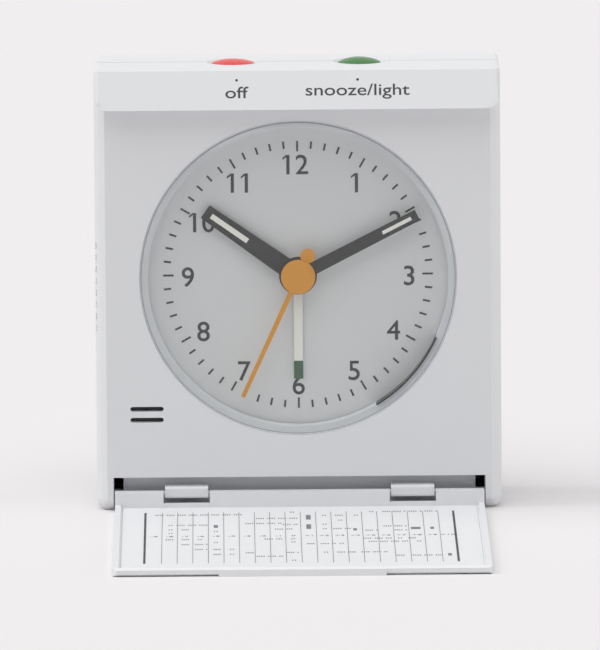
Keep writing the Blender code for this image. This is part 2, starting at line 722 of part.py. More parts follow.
def sound_openings():
    """Two slots low in the panel and the row of slots in the left flank."""
    cutters = []
    for level in (-1, 1):
        height = SLOT_Z + level * SLOT_PITCH / 2
        outline = rectangle(SLOT_X - SLOT_LENGTH / 2, height - SLOT_HEIGHT / 2,
                            SLOT_X + SLOT_LENGTH / 2, height + SLOT_HEIGHT / 2, SLOT_HEIGHT / 2 - WELD)
        cutters.append(prism("slot", [outline], PANEL_Y - OVERRUN, PANEL_BACK_Y + OVERRUN, FRONT))
    front = PANEL_Y + GRILLE_SETBACK
    for index in range(GRILLE_COUNT):
        height = GRILLE_Z + (index - (GRILLE_COUNT - 1) / 2) * GRILLE_PITCH
        cutters.append(box("slot", (-HALF_WIDTH - OVERRUN, front, height - GRILLE_BAR / 2),
                           (-HALF_WIDTH + WALL + OVERRUN, front + GRILLE_DEPTH, height + GRILLE_BAR / 2)))
    return gather("sound_openings", cutters)


def lamp_window():
    """Arc-shaped window low on the right of the well wall."""
    inner = WELL_RADIUS - OVERRUN
    outer = WELL_RADIUS + WELL_WALL + OVERRUN
    band = [clock_point(inner, angle) for angle in window_angles()]
    band += [clock_point(outer, angle) for angle in reversed(window_angles())]
    return prism("lamp_window", [band], PANEL_BACK_Y + WINDOW_MARGIN, WELL_END_Y - WINDOW_MARGIN, FRONT)


def window_angles():
    steps = ARC_STEPS * 2
    return [WINDOW_FROM_ANGLE + (WINDOW_TO_ANGLE - WINDOW_FROM_ANGLE) * index / steps
            for index in range(steps + 1)]


def front_case():
    case = rounded_shell("front_case", PANEL_Y, SEAM_Y, FACE_BEVEL, FACE_BEVEL_SHARES)
    centre = (0, DIAL_Z)
    well = cylinder("well", centre, WELL_RADIUS + WELL_WALL, PANEL_BACK_Y - OVERLAP, WELL_END_Y, "Y", FINE)
    well_hole = cylinder("well_hole", centre, WELL_RADIUS, HEADER_Y, WELL_END_Y + OVERRUN, "Y", FINE)
    lens_seat = cylinder("lens_seat", centre, LENS_RADIUS + FIT, HEADER_Y, PANEL_Y + LENS_SEAT, "Y", FINE)
    case_bosses = pillars("case_bosses", corner_places(), CASE_BOSS_RADIUS, PANEL_BACK_Y - OVERLAP, SEAM_Y)
    boss_holes = pillars("case_boss_holes", corner_places(), CASE_SCREW_RADIUS + FIT,
                         PANEL_BACK_Y + WALL / 2, SEAM_Y + OVERRUN)
    ear_bosses = pillars("ear_bosses", ear_places(), EAR_BOSS_RADIUS, PANEL_BACK_Y - OVERLAP, PLATE_Y - FIT)
    ear_holes = pillars("ear_boss_holes", ear_places(), SMALL_SCREW_RADIUS + FIT,
                        PANEL_BACK_Y + OVERLAP, PLATE_Y)
    half = RECESS_WIDTH / 2
    recess = box("cover_recess", (-half, PANEL_Y - OVERRUN, -OVERRUN), (half, RECESS_BACK_Y, RECESS_HEIGHT))
    relief_x = half - RELIEF_INSET - RELIEF_WIDTH / 2
    reliefs = gather("reliefs", [
        box("relief", (side * relief_x - RELIEF_WIDTH / 2, RECESS_BACK_Y - OVERRUN,
                       RELIEF_Z - RELIEF_HEIGHT / 2),
            (side * relief_x + RELIEF_WIDTH / 2, RECESS_BACK_Y + WALL + OVERRUN,
             RELIEF_Z + RELIEF_HEIGHT / 2)) for side in (-1, 1)])
    cut(case, front_hollow())
    fuse(case, header(), well, case_bosses, ear_bosses)
    cut(case, well_hole, lens_seat, boss_holes, ear_holes, lamp_window(), sound_openings())
    cut(case, recess, reliefs, button_bores("front_button_bores"))
    fuse(case, hinge_lugs())
    return part(case, "white_plastic")


def rear_case():
    seam = SEAM_Y + FIT
    case = rounded_shell("rear_case", BACK_Y, seam, BACK_ROUND, BACK_ROUND_SHARES)
    inside = HALF_WIDTH - WALL
    hollow = box("rear_hollow", (-inside, seam - OVERRUN, WALL), (inside, BACK_INSIDE_Y, CEILING_Z))
    inner_y = BACK_INSIDE_Y + OVERLAP
    posts = pillars("case_posts", corner_places(), CASE_BOSS_RADIUS + FIT, seam, inner_y)
    shelf_z = SWITCH_BOARD_Z - SWITCH_BOARD_THICKNESS - FIT
    shelf = box("switch_shelf", (-SHELF_WIDTH / 2, SEAM_Y - SHELF_REACH, shelf_z - SHELF_THICKNESS),
                (SHELF_WIDTH / 2, inner_y, shelf_z))
    cups = gather("knob_cups", [cylinder("cup", (side * SET_SPACING, DIAL_Z), POCKET_RADIUS + POCKET_WALL,
                                         KNOB_FLOOR_Y - POCKET_WALL, inner_y, "Y") for side in (-1, 1)])
    pockets = gather("knob_pockets", [cylinder("pocket", (side * SET_SPACING, DIAL_Z), POCKET_RADIUS,
                                               KNOB_FLOOR_Y, BACK_Y + OVERRUN, "Y") for side in (-1, 1)])
    cup_floor = KNOB_FLOOR_Y - POCKET_WALL
    shaft_holes = gather("shaft_holes", [cylinder("hole", (side * SET_SPACING, DIAL_Z),
                                                  SET_SHAFT_RADIUS + FIT, cup_floor - OVERRUN, BACK_Y,
                                                  "Y", SMALL) for side in (-1, 1)])
    bay = box("bay", (-BAY_HALF - BAY_WALL, BAY_FRONT_Y - BAY_WALL, BAY_FLOOR_Z - BAY_WALL),
              (BAY_HALF + BAY_WALL, inner_y, BAY_TOP_Z + BAY_WALL))
    frame = box("door_frame", (-DOOR_HALF - DOOR_TONGUE - WALL, BACK_INSIDE_Y - DOOR_FRAME, WALL - OVERLAP),
                (DOOR_HALF + DOOR_TONGUE + WALL, inner_y, DOOR_TOP_Z + WALL))
    bay_hollow = box("bay_hollow", (-BAY_HALF, BAY_FRONT_Y, BAY_FLOOR_Z),
                     (BAY_HALF, BACK_Y + OVERRUN, BAY_TOP_Z))
    door_y = DOOR_INSIDE_Y - FIT
    door_bed = box("door_bed", (-DOOR_HALF - FIT, door_y, -OVERRUN),
                   (DOOR_HALF + FIT, BACK_Y + OVERRUN, DOOR_TOP_Z + FIT))
    grooves = box("door_grooves", (-DOOR_SIDE, door_y, -OVERRUN),
                  (DOOR_SIDE, DOOR_INSIDE_Y + DOOR_TONGUE_THICKNESS + FIT, DOOR_TOP_Z + FIT))
    screw_floor = BACK_Y - CASE_SCREW_SEAT
    post_holes = pillars("post_holes", corner_places(), CASE_SCREW_RADIUS + FIT, seam - OVERRUN, BACK_Y)
    counterbores = pillars("counterbores", corner_places(), SCREW_BORE, screw_floor, BACK_Y + OVERRUN)
    cut(case, hollow)
    fuse(case, posts, shelf, cups, bay, frame)
    cut(case, pockets, shaft_holes, bay_hollow, door_bed, grooves, post_holes, counterbores)
    cut(case, button_bores("rear_button_bores"))
    return part(case, "white_plastic")


def case_screws():
    """Four screws that reach from the back into the front shell's bosses."""
    seat = BACK_Y - CASE_SCREW_SEAT + FIT
    profile = [(0, CASE_SCREW_LENGTH), (CASE_SCREW_RADIUS, CASE_SCREW_LENGTH), (CASE_SCREW_RADIUS, 0),
               (CASE_SCREW_HEAD, 0), (CASE_SCREW_HEAD, -CASE_SCREW_HEAD_HEIGHT),
               (0, -CASE_SCREW_HEAD_HEIGHT)]
    for index, (x, z) in enumerate(corner_places(), start=1):
        part(turned(f"case_screw_{index}", profile, (x, seat, z), FRONT, SMALL), "steel")


def lens():
    edge = LENS_SEAT - FIT
    profile = [(0, LENS_RISE), (LENS_RADIUS - LENS_BEVEL, LENS_RISE), (LENS_RADIUS, LENS_EDGE_RISE),
               (LENS_RADIUS, -edge), (0, -edge)]
    return part(turned("lens", profile, (0, PANEL_Y, DIAL_Z), FRONT, FINE), "clear_plastic")


def dial_plate():
    outline = circle(WELL_RADIUS + WELL_WALL + DIAL_MARGIN, FINE, (0, DIAL_Z))
    hole = circle(CENTRE_HOLE_RADIUS, ROUND, (0, DIAL_Z))
    return part(prism("dial_plate", [outline, hole], DIAL_Y, DIAL_Y + DIAL_THICKNESS, FRONT), "dial_print")


# Hands

def bar_outline(hub, root, tip, length):
    """A hub circle with one tapered, square-ended hand that points up."""
    edge = math.degrees(math.acos(root / 2 / hub))
    outline = arc((0, 0), hub, 180 - edge, 360 + edge, ROUND)
    return outline + [(tip / 2, length), (-tip / 2, length)]


def hand(name, sizes, hole, front_gap_y, degrees, finish, pivot):
    outline = turn_outline(bar_outline(*sizes), degrees)
    hub_hole = circle(hole + FIT, ROUND, (0, DIAL_Z))
    obj = prism(name, [outline, hub_hole], front_gap_y - HAND_THICKNESS, front_gap_y, FRONT)
    return part(obj, finish, pivot)


def second_hand(pivot):
    """A thin hand with a round counterweight, carried by a thicker disc."""
    front = SECOND_HAND_Y - HAND_THICKNESS
    outline = bar_outline(SECOND_KNOB_RADIUS, SECOND_HAND_ROOT, SECOND_HAND_TIP,
                          SECOND_HAND_LENGTH + SECOND_KNOB_OFFSET)
    lowered = [(across, up - SECOND_KNOB_OFFSET) for across, up in outline]
    obj = prism("second_hand", [turn_outline(lowered, TIME_SECOND_ANGLE)], front, SECOND_HAND_Y, FRONT)
    disc = cylinder("disc", (0, DIAL_Z), SECOND_DISC_RADIUS, SECOND_HAND_Y - SECOND_DISC_THICKNESS,
                    SECOND_HAND_Y + SECOND_DISC_LAP, "Y")
    socket = cylinder("socket", (0, DIAL_Z), SECOND_ARBOR_RADIUS + FIT, front, SECOND_HAND_Y + OVERRUN,
                      "Y", SMALL)
    fuse(obj, disc)
    cut(obj, socket)
    return part(obj, "yellow_paint", pivot)


# Movement

def gear_outline(teeth, module, first, centre):
    """Slim trapezoid teeth; the first tooth points along the given angle in degrees."""
    pitch = 360 / teeth
    pitch_radius = teeth * module / 2
    points = []
    for index in range(teeth):
        middle = first + index * pitch
        corners = ((-TOOTH_ROOT_HALF_SHARE, -TOOTH_ROOT_SHARE), (-TOOTH_TIP_HALF_SHARE, TOOTH_TIP_SHARE),
                   (TOOTH_TIP_HALF_SHARE, TOOTH_TIP_SHARE), (TOOTH_ROOT_HALF_SHARE, -TOOTH_ROOT_SHARE))
        for turn, height in corners:
            angle = math.radians(middle + turn * pitch)
            radius = pitch_radius + height * module
            points.append((centre[0] + radius * math.cos(angle), centre[1] + radius * math.sin(angle)))
    return points


def tube(name, radius, inside, low, high, segments=ROUND):
    """A tube round the hands' axis."""
    centre = (0, DIAL_Z)
    return prism(name, [circle(radius, segments, centre), circle(inside, segments, centre)], low, high, FRONT)


def centre_wheel(name, teeth, module, first, wheel_y, tube_radius, tube_inside, front_y, finish, pivot):
    """A toothed wheel fixed on the back end of its tube."""
    centre = (0, DIAL_Z)
    rim = gear_outline(teeth, module, first, centre)
    wheel = prism(name, [rim, circle(tube_radius - TUBE_WALL / 2, ROUND, centre)], wheel_y,
                  wheel_y + WHEEL_THICKNESS, FRONT)
    stem = tube(name + "_tube", tube_radius, tube_inside, front_y, wheel_y + WHEEL_THICKNESS + WHEEL_GAP / 4)
    fuse(wheel, stem)
    return part(wheel, finish, pivot)


def second_arbor(pivot):
    centre = (0, DIAL_Z)
    front = SECOND_HAND_Y - HAND_THICKNESS + FIT
    back = COVER_END_Y - MOVEMENT_WALL - FIT
    arbor = cylinder("second_arbor", centre, SECOND_ARBOR_RADIUS, front, back, "Y", SMALL)
    wheel = cylinder("second_wheel", centre, SECOND_WHEEL_RADIUS, SECOND_WHEEL_Y,
                     SECOND_WHEEL_Y + WHEEL_THICKNESS, "Y")
    fuse(arbor, wheel)
    return part(arbor, "steel", pivot)


def set_arbor(pivot):
    """Minute wheel and its pinion on the time setting shaft."""
    centre = (SET_SPACING, DIAL_Z)
    back = KNOB_FLOOR_Y + POCKET_DEPTH / 2
    shaft = cylinder("set_arbor", centre, SET_SHAFT_RADIUS, PLATE_BACK_Y + FIT, back, "Y", SMALL)
    rim = gear_outline(MINUTE_TEETH, MOTION_MODULE, 180 + 180 / MINUTE_TEETH, centre)
    wheel = prism("minute_wheel", [rim], MINUTE_WHEEL_Y, MINUTE_WHEEL_Y + WHEEL_THICKNESS, FRONT)
    leaves = gear_outline(SET_PINION_TEETH, HOUR_MODULE, 180, centre)
    pinion = prism("minute_pinion", [leaves], HOUR_WHEEL_Y - WHEEL_GAP / 4, MINUTE_WHEEL_Y + OVERLAP, FRONT)
    fuse(shaft, wheel, pinion)
    return part(shaft, "natural_plastic", pivot)


def alarm_set_shaft(pivot):
    centre = (-SET_SPACING, DIAL_Z)
    back = KNOB_FLOOR_Y + POCKET_DEPTH / 2
    shaft = cylinder("alarm_set_shaft", centre, SET_SHAFT_RADIUS, PLATE_BACK_Y + FIT, back, "Y", SMALL)
    leaves = gear_outline(ALARM_PINION_TEETH, ALARM_MODULE, 0, centre)
    pinion = prism("alarm_pinion", [leaves], ALARM_WHEEL_Y, ALARM_WHEEL_Y + WHEEL_THICKNESS, FRONT)
    fuse(shaft, pinion)
    return part(shaft, "natural_plastic", pivot)


def knob(name, x, pivot):
    """A grooved thumb knob, pressed on its shaft from the back."""
    low = KNOB_FLOOR_Y + FIT
    high = BACK_Y + KNOB_PROUD
    root = KNOB_RADIUS - KNOB_GROOVE_DEPTH
    pitch = 360 / KNOB_GROOVES
    outline = []
    for index in range(KNOB_GROOVES):
        for share, radius in zip(KNOB_GROOVE_SHARES, (KNOB_RADIUS, KNOB_RADIUS, root, root)):
            angle = math.radians((index + share) * pitch)
            outline.append((x + radius * math.cos(angle), DIAL_Z + radius * math.sin(angle)))
    obj = prism(name, [outline], low, high, FRONT)
    socket = cylinder(name + "_socket", (x, DIAL_Z), SET_SHAFT_RADIUS + FIT, low - OVERRUN,
                      KNOB_FLOOR_Y + POCKET_DEPTH / 2 + FIT, "Y", SMALL)
    cut(obj, socket)
    return part(obj, "white_plastic", pivot)


def movement_plate():
    """Plate between dial and wheels, with two ears on each side for the screws."""
    half_width, half_height = MOVEMENT_WIDTH / 2, MOVEMENT_HEIGHT / 2
    near, far = EAR_OFFSET - EAR_HEIGHT / 2, EAR_OFFSET + EAR_HEIGHT / 2
    right = [(half_width, -half_height), (half_width, -far), (EAR_SPAN / 2, -far), (EAR_SPAN / 2, -near),
             (half_width, -near), (half_width, near), (EAR_SPAN / 2, near), (EAR_SPAN / 2, far),
             (half_width, far), (half_width, half_height)]
    outline = right + [(-across, up) for across, up in reversed(right)]
    outlines = [[(across, DIAL_Z + up) for across, up in outline]]
    outlines.append(circle(CENTRE_HOLE_RADIUS, ROUND, (0, DIAL_Z)))
    outlines += [circle(SMALL_SCREW_RADIUS + FIT, SMALL, place) for place in ear_places()]
    return part(prism("movement_plate", outlines, PLATE_Y, PLATE_BACK_Y, FRONT), "natural_plastic")


def movement_cover():
    """The open-fronted housing behind the movement plate."""
    half_width, half_height = MOVEMENT_WIDTH / 2, MOVEMENT_HEIGHT / 2
    low = PLATE_BACK_Y + FIT
    outer = rectangle(-half_width, DIAL_Z - half_height, half_width, DIAL_Z + half_height, MOVEMENT_CORNER)
    inner_width, inner_height = half_width - MOVEMENT_WALL, half_height - MOVEMENT_WALL
    inner = rectangle(-inner_width, DIAL_Z - inner_height, inner_width, DIAL_Z + inner_height,
                      MOVEMENT_CORNER - MOVEMENT_WALL)
    cover = prism("movement_cover", [outer], low, COVER_END_Y, FRONT)
    hollow = prism("movement_hollow", [inner], low - OVERRUN, COVER_END_Y - MOVEMENT_WALL, FRONT)
    holes = gather("cover_holes", [cylinder("hole", (side * SET_SPACING, DIAL_Z), SET_SHAFT_RADIUS + FIT,
                                            COVER_END_Y - MOVEMENT_WALL - OVERRUN, COVER_END_Y + OVERRUN,
                                            "Y", SMALL) for side in (-1, 1)])
    cut(cover, hollow, holes)
    return part(cover, "natural_plastic")


def movement_screws():
    """Four small screws through the plate's ears into the front shell's bosses."""
    profile = [(0, SMALL_SCREW_LENGTH), (SMALL_SCREW_RADIUS, SMALL_SCREW_LENGTH), (SMALL_SCREW_RADIUS, 0),
               (SMALL_SCREW_HEAD, 0), (SMALL_SCREW_HEAD, -SMALL_SCREW_HEAD_HEIGHT),
               (0, -SMALL_SCREW_HEAD_HEIGHT)]
    for index, (x, z) in enumerate(ear_places(), start=1):
        place = (x, PLATE_BACK_Y + FIT, z)
        part(turned(f"movement_screw_{index}", profile, place, FRONT, SMALL), "steel")


def movement_electrics():
    """Board, coil and crystal in the lower and upper bays of the movement."""
    floor = COVER_END_Y - MOVEMENT_WALL - FIT
    low = DIAL_Z - MOVEMENT_HEIGHT / 2 + MOVEMENT_WALL + FIT
    board = box("movement_board", (-BOARD_WIDTH / 2, floor - BOARD_THICKNESS, low),
                (BOARD_WIDTH / 2, floor, low + BOARD_HEIGHT))
    part(board, "board")
    coil_y = floor - BOARD_THICKNESS - FIT - COIL_RADIUS
    coil_z = low + BOARD_HEIGHT / 2 - COIL_DROP
    half = COIL_LENGTH / 2
    profile = [(COIL_CORE_RADIUS + FIT, half), (COIL_RADIUS, half), (COIL_RADIUS, half - COIL_FLANGE),
               (COIL_RADIUS - FIT, half - COIL_FLANGE), (COIL_RADIUS - FIT, COIL_FLANGE - half),
               (COIL_RADIUS, COIL_FLANGE - half), (COIL_RADIUS, -half), (COIL_CORE_RADIUS + FIT, -half)]
    part(turned("motor_coil", profile, (0, coil_y, coil_z), SIDE), "copper")
    core = cylinder("motor_stator", (coil_y, coil_z), COIL_CORE_RADIUS, -half - FIT - OVERLAP,
                    half + FIT + OVERLAP, "X", SMALL)
    ends = gather("stator_ends", [
        box("end", (min(side * (half + FIT), side * (half + FIT + COIL_RADIUS)), coil_y - COIL_RADIUS,
                    coil_z - COIL_RADIUS),
            (max(side * (half + FIT), side * (half + FIT + COIL_RADIUS)),
             floor - BOARD_THICKNESS - FIT, coil_z + COIL_RADIUS)) for side in (-1, 1)])
    fuse(core, ends)
    part(core, "steel")
    crystal_x = half + FIT + COIL_RADIUS + FIT + CRYSTAL_RADIUS + CRYSTAL_RADIUS
    crystal_y = floor - BOARD_THICKNESS - FIT - CRYSTAL_RADIUS
    crystal = cylinder("quartz_crystal", (crystal_x, crystal_y), CRYSTAL_RADIUS,
                       coil_z - CRYSTAL_LENGTH / 2, coil_z + CRYSTAL_LENGTH / 2, "Z", SMALL)
    part(crystal, "steel")


# Lamp, sounder and switches

def lamp():
    """A lamp that shines into the well through its window, with its board behind it."""
    middle = (WINDOW_FROM_ANGLE + WINDOW_TO_ANGLE) / 2
    tip = WELL_RADIUS + WELL_WALL + LAMP_SET_OUT
    lamp_y = PANEL_BACK_Y + FIT + LAMP_RADIUS
    x, z = clock_point(tip, middle)
    turn = Matrix.Rotation(math.radians(middle), 3, "Y")
    profile = [(0, LAMP_LENGTH), (LAMP_RADIUS, LAMP_LENGTH), (LAMP_RADIUS, LAMP_RADIUS / 2),
               (LAMP_RADIUS / 2, 0), (0, 0)]
    part(turned("lamp", profile, (x, lamp_y, z), turn, SMALL), "clear_plastic")
    near = tip + LAMP_LENGTH + FIT
    half = LAMP_BOARD_LENGTH / 2
    outline = [(-half, near), (half, near), (half, near + LAMP_BOARD_THICKNESS),
               (-half, near + LAMP_BOARD_THICKNESS)]
    board = prism("lamp_board", [turn_outline(outline, middle)], PANEL_BACK_Y + FIT, PLATE_Y - FIT, FRONT)
    part(board, "board")


def sounder():
    low = PANEL_BACK_Y + FIT
    centre = (SLOT_X, SLOT_Z)
    can = cylinder("sounder", centre, SOUNDER_RADIUS, low, low + SOUNDER_HEIGHT, "Y")
    hole = cylinder("sounder_hole", centre, SOUNDER_HOLE_RADIUS, low - OVERRUN, low + SOUNDER_HOLE_DEPTH,
                    "Y", SMALL)
    cut(can, hole)
    part(can, "grey_plastic")


def push_button(name, x, rise, finish):
    """A flat cap with a rounded edge over a trapped flange, and the stem that closes its switch."""
    edge = BODY_HEIGHT + rise
    flat = BUTTON_RADIUS - BUTTON_ROUND
    crown = [(flat * share, edge + BUTTON_CROWN * (1 - share ** 2)) for share in BUTTON_CROWN_SHARES]
    crown += arc((flat, edge - BUTTON_ROUND), BUTTON_ROUND, 90, 0, ARC_STEPS - 1)
    profile = crown + [(BUTTON_RADIUS, FLANGE_Z), (BUTTON_RADIUS + BUTTON_FLANGE, FLANGE_Z),
                       (BUTTON_RADIUS + BUTTON_FLANGE, FLANGE_LOW_Z), (BUTTON_STEM_RADIUS, FLANGE_LOW_Z),
                       (BUTTON_STEM_RADIUS, STEM_END_Z), (0, STEM_END_Z)]
    pivot = add_pivot(name + "_slide", (x, SEAM_Y, BODY_HEIGHT))
    part(turned(name, profile, (x, SEAM_Y, 0), PLAN), finish, pivot)
    wire = SPRING_WIRE / 2
    low = SWITCH_BOARD_Z + FIT + wire
    high = FLANGE_LOW_Z - FIT - wire
    spring = coil(name + "_spring", (x, SEAM_Y, 0), (SPRING_RADIUS, SPRING_RADIUS), low, high, SPRING_TURNS,
                  SPRING_WIRE)
    part(spring, "steel")


def switch_board():
    """The board under the buttons, with a raised contact dome below each stem."""
    low = SWITCH_BOARD_Z - SWITCH_BOARD_THICKNESS
    half = SWITCH_BOARD_WIDTH / 2
    front = SEAM_Y - SHELF_REACH
    board = box("switch_board", (-half, front, low), (half, front + SWITCH_BOARD_DEPTH, SWITCH_BOARD_Z))
    domes = gather("contact_domes", [cylinder("dome", (side * BUTTON_X, SEAM_Y), DOME_RADIUS,
                                              SWITCH_BOARD_Z - OVERLAP, SWITCH_BOARD_Z + DOME_HEIGHT,
                                              "Z", SMALL) for side in (-1, 1)])
    fuse(board, domes)
    part(board, "board")


# Battery

def battery():
    """A round cell across the bay, its nub towards the fixed contact."""
    half = BATTERY_LENGTH / 2
    profile = [(0, half), (BATTERY_NUB_RADIUS, half), (BATTERY_NUB_RADIUS, half - BATTERY_NUB_LENGTH),
               (BATTERY_RADIUS, half - BATTERY_NUB_LENGTH), (BATTERY_RADIUS, -half), (0, -half)]
    shift = (CONTACT_SPRING_LENGTH - CONTACT_THICKNESS) - FIT - FIT
    part(turned("battery", profile, (shift, BATTERY_Y, BATTERY_Z), SIDE), "cell_jacket")
    plate = CONTACT_WIDTH / 2
    for name, side in (("positive_contact", 1), ("negative_contact", -1)):
        inner = side * (BAY_HALF - FIT - CONTACT_THICKNESS)
        outer = side * (BAY_HALF - FIT)
        contact = box(name, (min(inner, outer), BATTERY_Y - plate, BATTERY_Z - plate),
                      (max(inner, outer), BATTERY_Y + plate, BATTERY_Z + plate))
        part(contact, "steel")
    wire = SPRING_WIRE / 2
    low = -BAY_HALF + FIT + CONTACT_THICKNESS + FIT + wire
    high = shift - half - FIT - wire
    spring = coil("contact_spring", (0, BATTERY_Y, BATTERY_Z),
                  (CONTACT_SPRING_RADIUS, CONTACT_SPRING_TIP_RADIUS), low, high, CONTACT_SPRING_TURNS,
                  SPRING_WIRE, SIDE)
    part(spring, "steel")


def battery_door():
    """A plate with side tongues and grip grooves that slides down in its bed."""
    pivot = add_pivot("battery_door_slide", (0, BACK_Y, DOOR_TOP_Z))
    door = box("battery_door", (-DOOR_HALF, DOOR_INSIDE_Y, DOOR_LOW_Z), (DOOR_HALF, BACK_Y, DOOR_TOP_Z))
    reach = DOOR_HALF + DOOR_TONGUE
    tongues = box("door_tongues", (-reach, DOOR_INSIDE_Y, DOOR_LOW_Z),
                  (reach, DOOR_INSIDE_Y + DOOR_TONGUE_THICKNESS, DOOR_TOP_Z))
    middle = (DOOR_LOW_Z + DOOR_TOP_Z) / 2
    grooves = []
    for index in range(DOOR_RIB_COUNT):
        height = middle + (index - (DOOR_RIB_COUNT - 1) / 2) * DOOR_RIB_PITCH
        grooves.append(box("groove", (-DOOR_RIB_WIDTH / 2, BACK_Y - DOOR_RIB_DEPTH,
                                      height - DOOR_RIB_HEIGHT / 2),
                           (DOOR_RIB_WIDTH / 2, BACK_Y + OVERRUN, height + DOOR_RIB_HEIGHT / 2)))
    fuse(door, tongues)
    cut(door, gather("grip_grooves", grooves))
    part(door, "white_plastic", pivot)


# Cover

def cover_section():
    """Side outline of the cover, open: root bar round the hinge axis, then the plate."""
    top = HINGE_Z + BAR_ABOVE_AXIS
    plate_top = HINGE_Z - COVER_BELOW_AXIS
    plate_low = plate_top - COVER_THICKNESS
    front = HINGE_Y - BAR_REACH
    end = HINGE_Y - COVER_LENGTH
    round_end = COVER_THICKNESS / 2
    outline = [(front, plate_top), (front, top)]
    outline += arc((HINGE_Y, HINGE_Z), BAR_ABOVE_AXIS, 90, -45, ARC_STEPS + 1)
    outline += [(HINGE_Y, plate_low + BAR_HEEL_DROP / 2), (HINGE_Y - BAR_HEEL_DROP / 2, plate_low)]
    outline += arc((end + round_end, plate_top - round_end), round_end, 270, 90, ARC_STEPS)
    return outline


def front_cover():
    pivot = add_pivot("cover_hinge", (0, HINGE_Y, HINGE_Z))
    half = RECESS_WIDTH / 2 - FIT
    cover = prism("front_cover", [cover_section()], -half, half, SIDE)
    end = HINGE_Y - COVER_LENGTH
    plate_top = HINGE_Z - COVER_BELOW_AXIS
    plate_low = plate_top - COVER_THICKNESS
    floor = plate_top - RIM_RISE
    above = plate_top + OVERRUN
    left, near = -half + RIM_WIDTH, end + RIM_WIDTH
    far = HINGE_Y - BAR_REACH
    corners = []
    for side in (-1, 1):
        x, y = side * (half - COVER_CORNER), end + COVER_CORNER
        outline = [(side * (half + OVERRUN), end - OVERRUN), (x, end - OVERRUN)]
        outline += arc((x, y), COVER_CORNER, -90, -90 + side * 90, ARC_STEPS)
        outline += [(side * (half + OVERRUN), y)]
        corners.append(prism("corner", [outline], plate_low - OVERRUN, above, PLAN))
    notches = []
    sills = []
    pins = []
    reach = LUG_WIDTH / 2 + FIT
    sill_back = HINGE_Y - LUG_REACH - FIT
    for side in (-1, 1):
        middle = side * LUG_X
        behind = (middle + reach, HINGE_Y + OVERRUN, HINGE_Z + OVERRUN)
        notches.append(box("notch", (middle - reach, sill_back, floor), behind))
        sills.append(box("sill", (middle - reach, far - OVERLAP, HINGE_Z - SILL_DROP), behind))
        pins.append(cylinder("pin", (HINGE_Y, HINGE_Z), PIN_RADIUS, middle - reach - OVERLAP,
                             middle + reach + OVERLAP, "X", SMALL))
    lip = box("finger_lip", (-LIP_WIDTH / 2, end - LIP_PROUD, 0),
              (LIP_WIDTH / 2, end - LIP_PROUD + LIP_LENGTH, plate_top - LIP_STEP))
    sunk = box("sunk_face", (left, near, floor), (-left, far, above))
    bed = box("card_bed", (left + CARD_MARGIN, near + CARD_MARGIN, floor - CARD_THICKNESS - FIT),
              (-left - CARD_MARGIN, far - CARD_MARGIN, above))
    cut(cover, gather("cover_corners", corners), gather("lug_notches", notches), gather("sills", sills))
    cut(cover, sunk, bed)
    fuse(cover, gather("cover_pins", pins), lip)
    part(cover, "cover_plastic", pivot)
    margin = CARD_MARGIN + FIT
    card = box("chart_card", (left + margin, near + margin, floor - CARD_THICKNESS),
               (-left - margin, far - margin, floor))
    part(card, "card", pivot)


def hands_and_wheels():
    axis = (0, DIAL_Y, DIAL_Z)
    gap_angle = 180
    alarm = add_pivot("alarm_axis", axis)
    hand("alarm_hand", (ALARM_HUB_RADIUS, ALARM_HAND_ROOT, ALARM_HAND_TIP, ALARM_HAND_LENGTH),
         ALARM_TUBE_RADIUS, ALARM_HAND_Y, ALARM_ANGLE, "cream_paint", alarm)
    centre_wheel("alarm_wheel", ALARM_TEETH, ALARM_MODULE, gap_angle + 180 / ALARM_TEETH, ALARM_WHEEL_Y,
                 ALARM_TUBE_RADIUS, ALARM_TUBE_INSIDE, ALARM_HAND_Y - HAND_THICKNESS - TUBE_PROUD,
                 "natural_plastic", alarm)
    hour = add_pivot("hour_axis", axis)
    hand("hour_hand", (HOUR_HUB_RADIUS, HOUR_HAND_ROOT, HOUR_HAND_TIP, HOUR_HAND_LENGTH),
         HOUR_TUBE_RADIUS, HOUR_HAND_Y, TIME_HOUR_ANGLE, "black_paint", hour)
    centre_wheel("hour_wheel", HOUR_TEETH, HOUR_MODULE, 180 / HOUR_TEETH, HOUR_WHEEL_Y, HOUR_TUBE_RADIUS,
                 HOUR_TUBE_INSIDE, HOUR_HAND_Y - HAND_THICKNESS - TUBE_PROUD, "natural_plastic", hour)
    minute = add_pivot("minute_axis", axis)
    hand("minute_hand", (MINUTE_HUB_RADIUS, MINUTE_HAND_ROOT, MINUTE_HAND_TIP, MINUTE_HAND_LENGTH),
         MINUTE_TUBE_RADIUS, MINUTE_HAND_Y, TIME_MINUTE_ANGLE, "black_paint", minute)
    centre_wheel("cannon_pinion", CANNON_TEETH, MOTION_MODULE, 0, MINUTE_WHEEL_Y, MINUTE_TUBE_RADIUS,
                 MINUTE_TUBE_INSIDE, MINUTE_HAND_Y - HAND_THICKNESS - TUBE_PROUD, "brass", minute)
    second = add_pivot("second_axis", axis)
    second_hand(second)
    second_arbor(second)


def setting_knobs():
    time_set = add_pivot("time_set_axis", (SET_SPACING, BACK_Y, DIAL_Z))
    set_arbor(time_set)
    knob("time_set_knob", SET_SPACING, time_set)
    alarm_set = add_pivot("alarm_set_axis", (-SET_SPACING, BACK_Y, DIAL_Z))
    alarm_set_shaft(alarm_set)
    knob("alarm_set_knob", -SET_SPACING, alarm_set)


front_case()
rear_case()
case_screws()
lens()
dial_plate()
hands_and_wheels()
setting_knobs()
movement_plate()
movement_cover()
movement_screws()
movement_electrics()
lamp()
sounder()
push_button("off_button", -BUTTON_X, OFF_BUTTON_RISE, "red_plastic")
push_button("snooze_button", BUTTON_X, SNOOZE_BUTTON_RISE, "green_plastic")
switch_board()
battery()
battery_door()
front_cover()
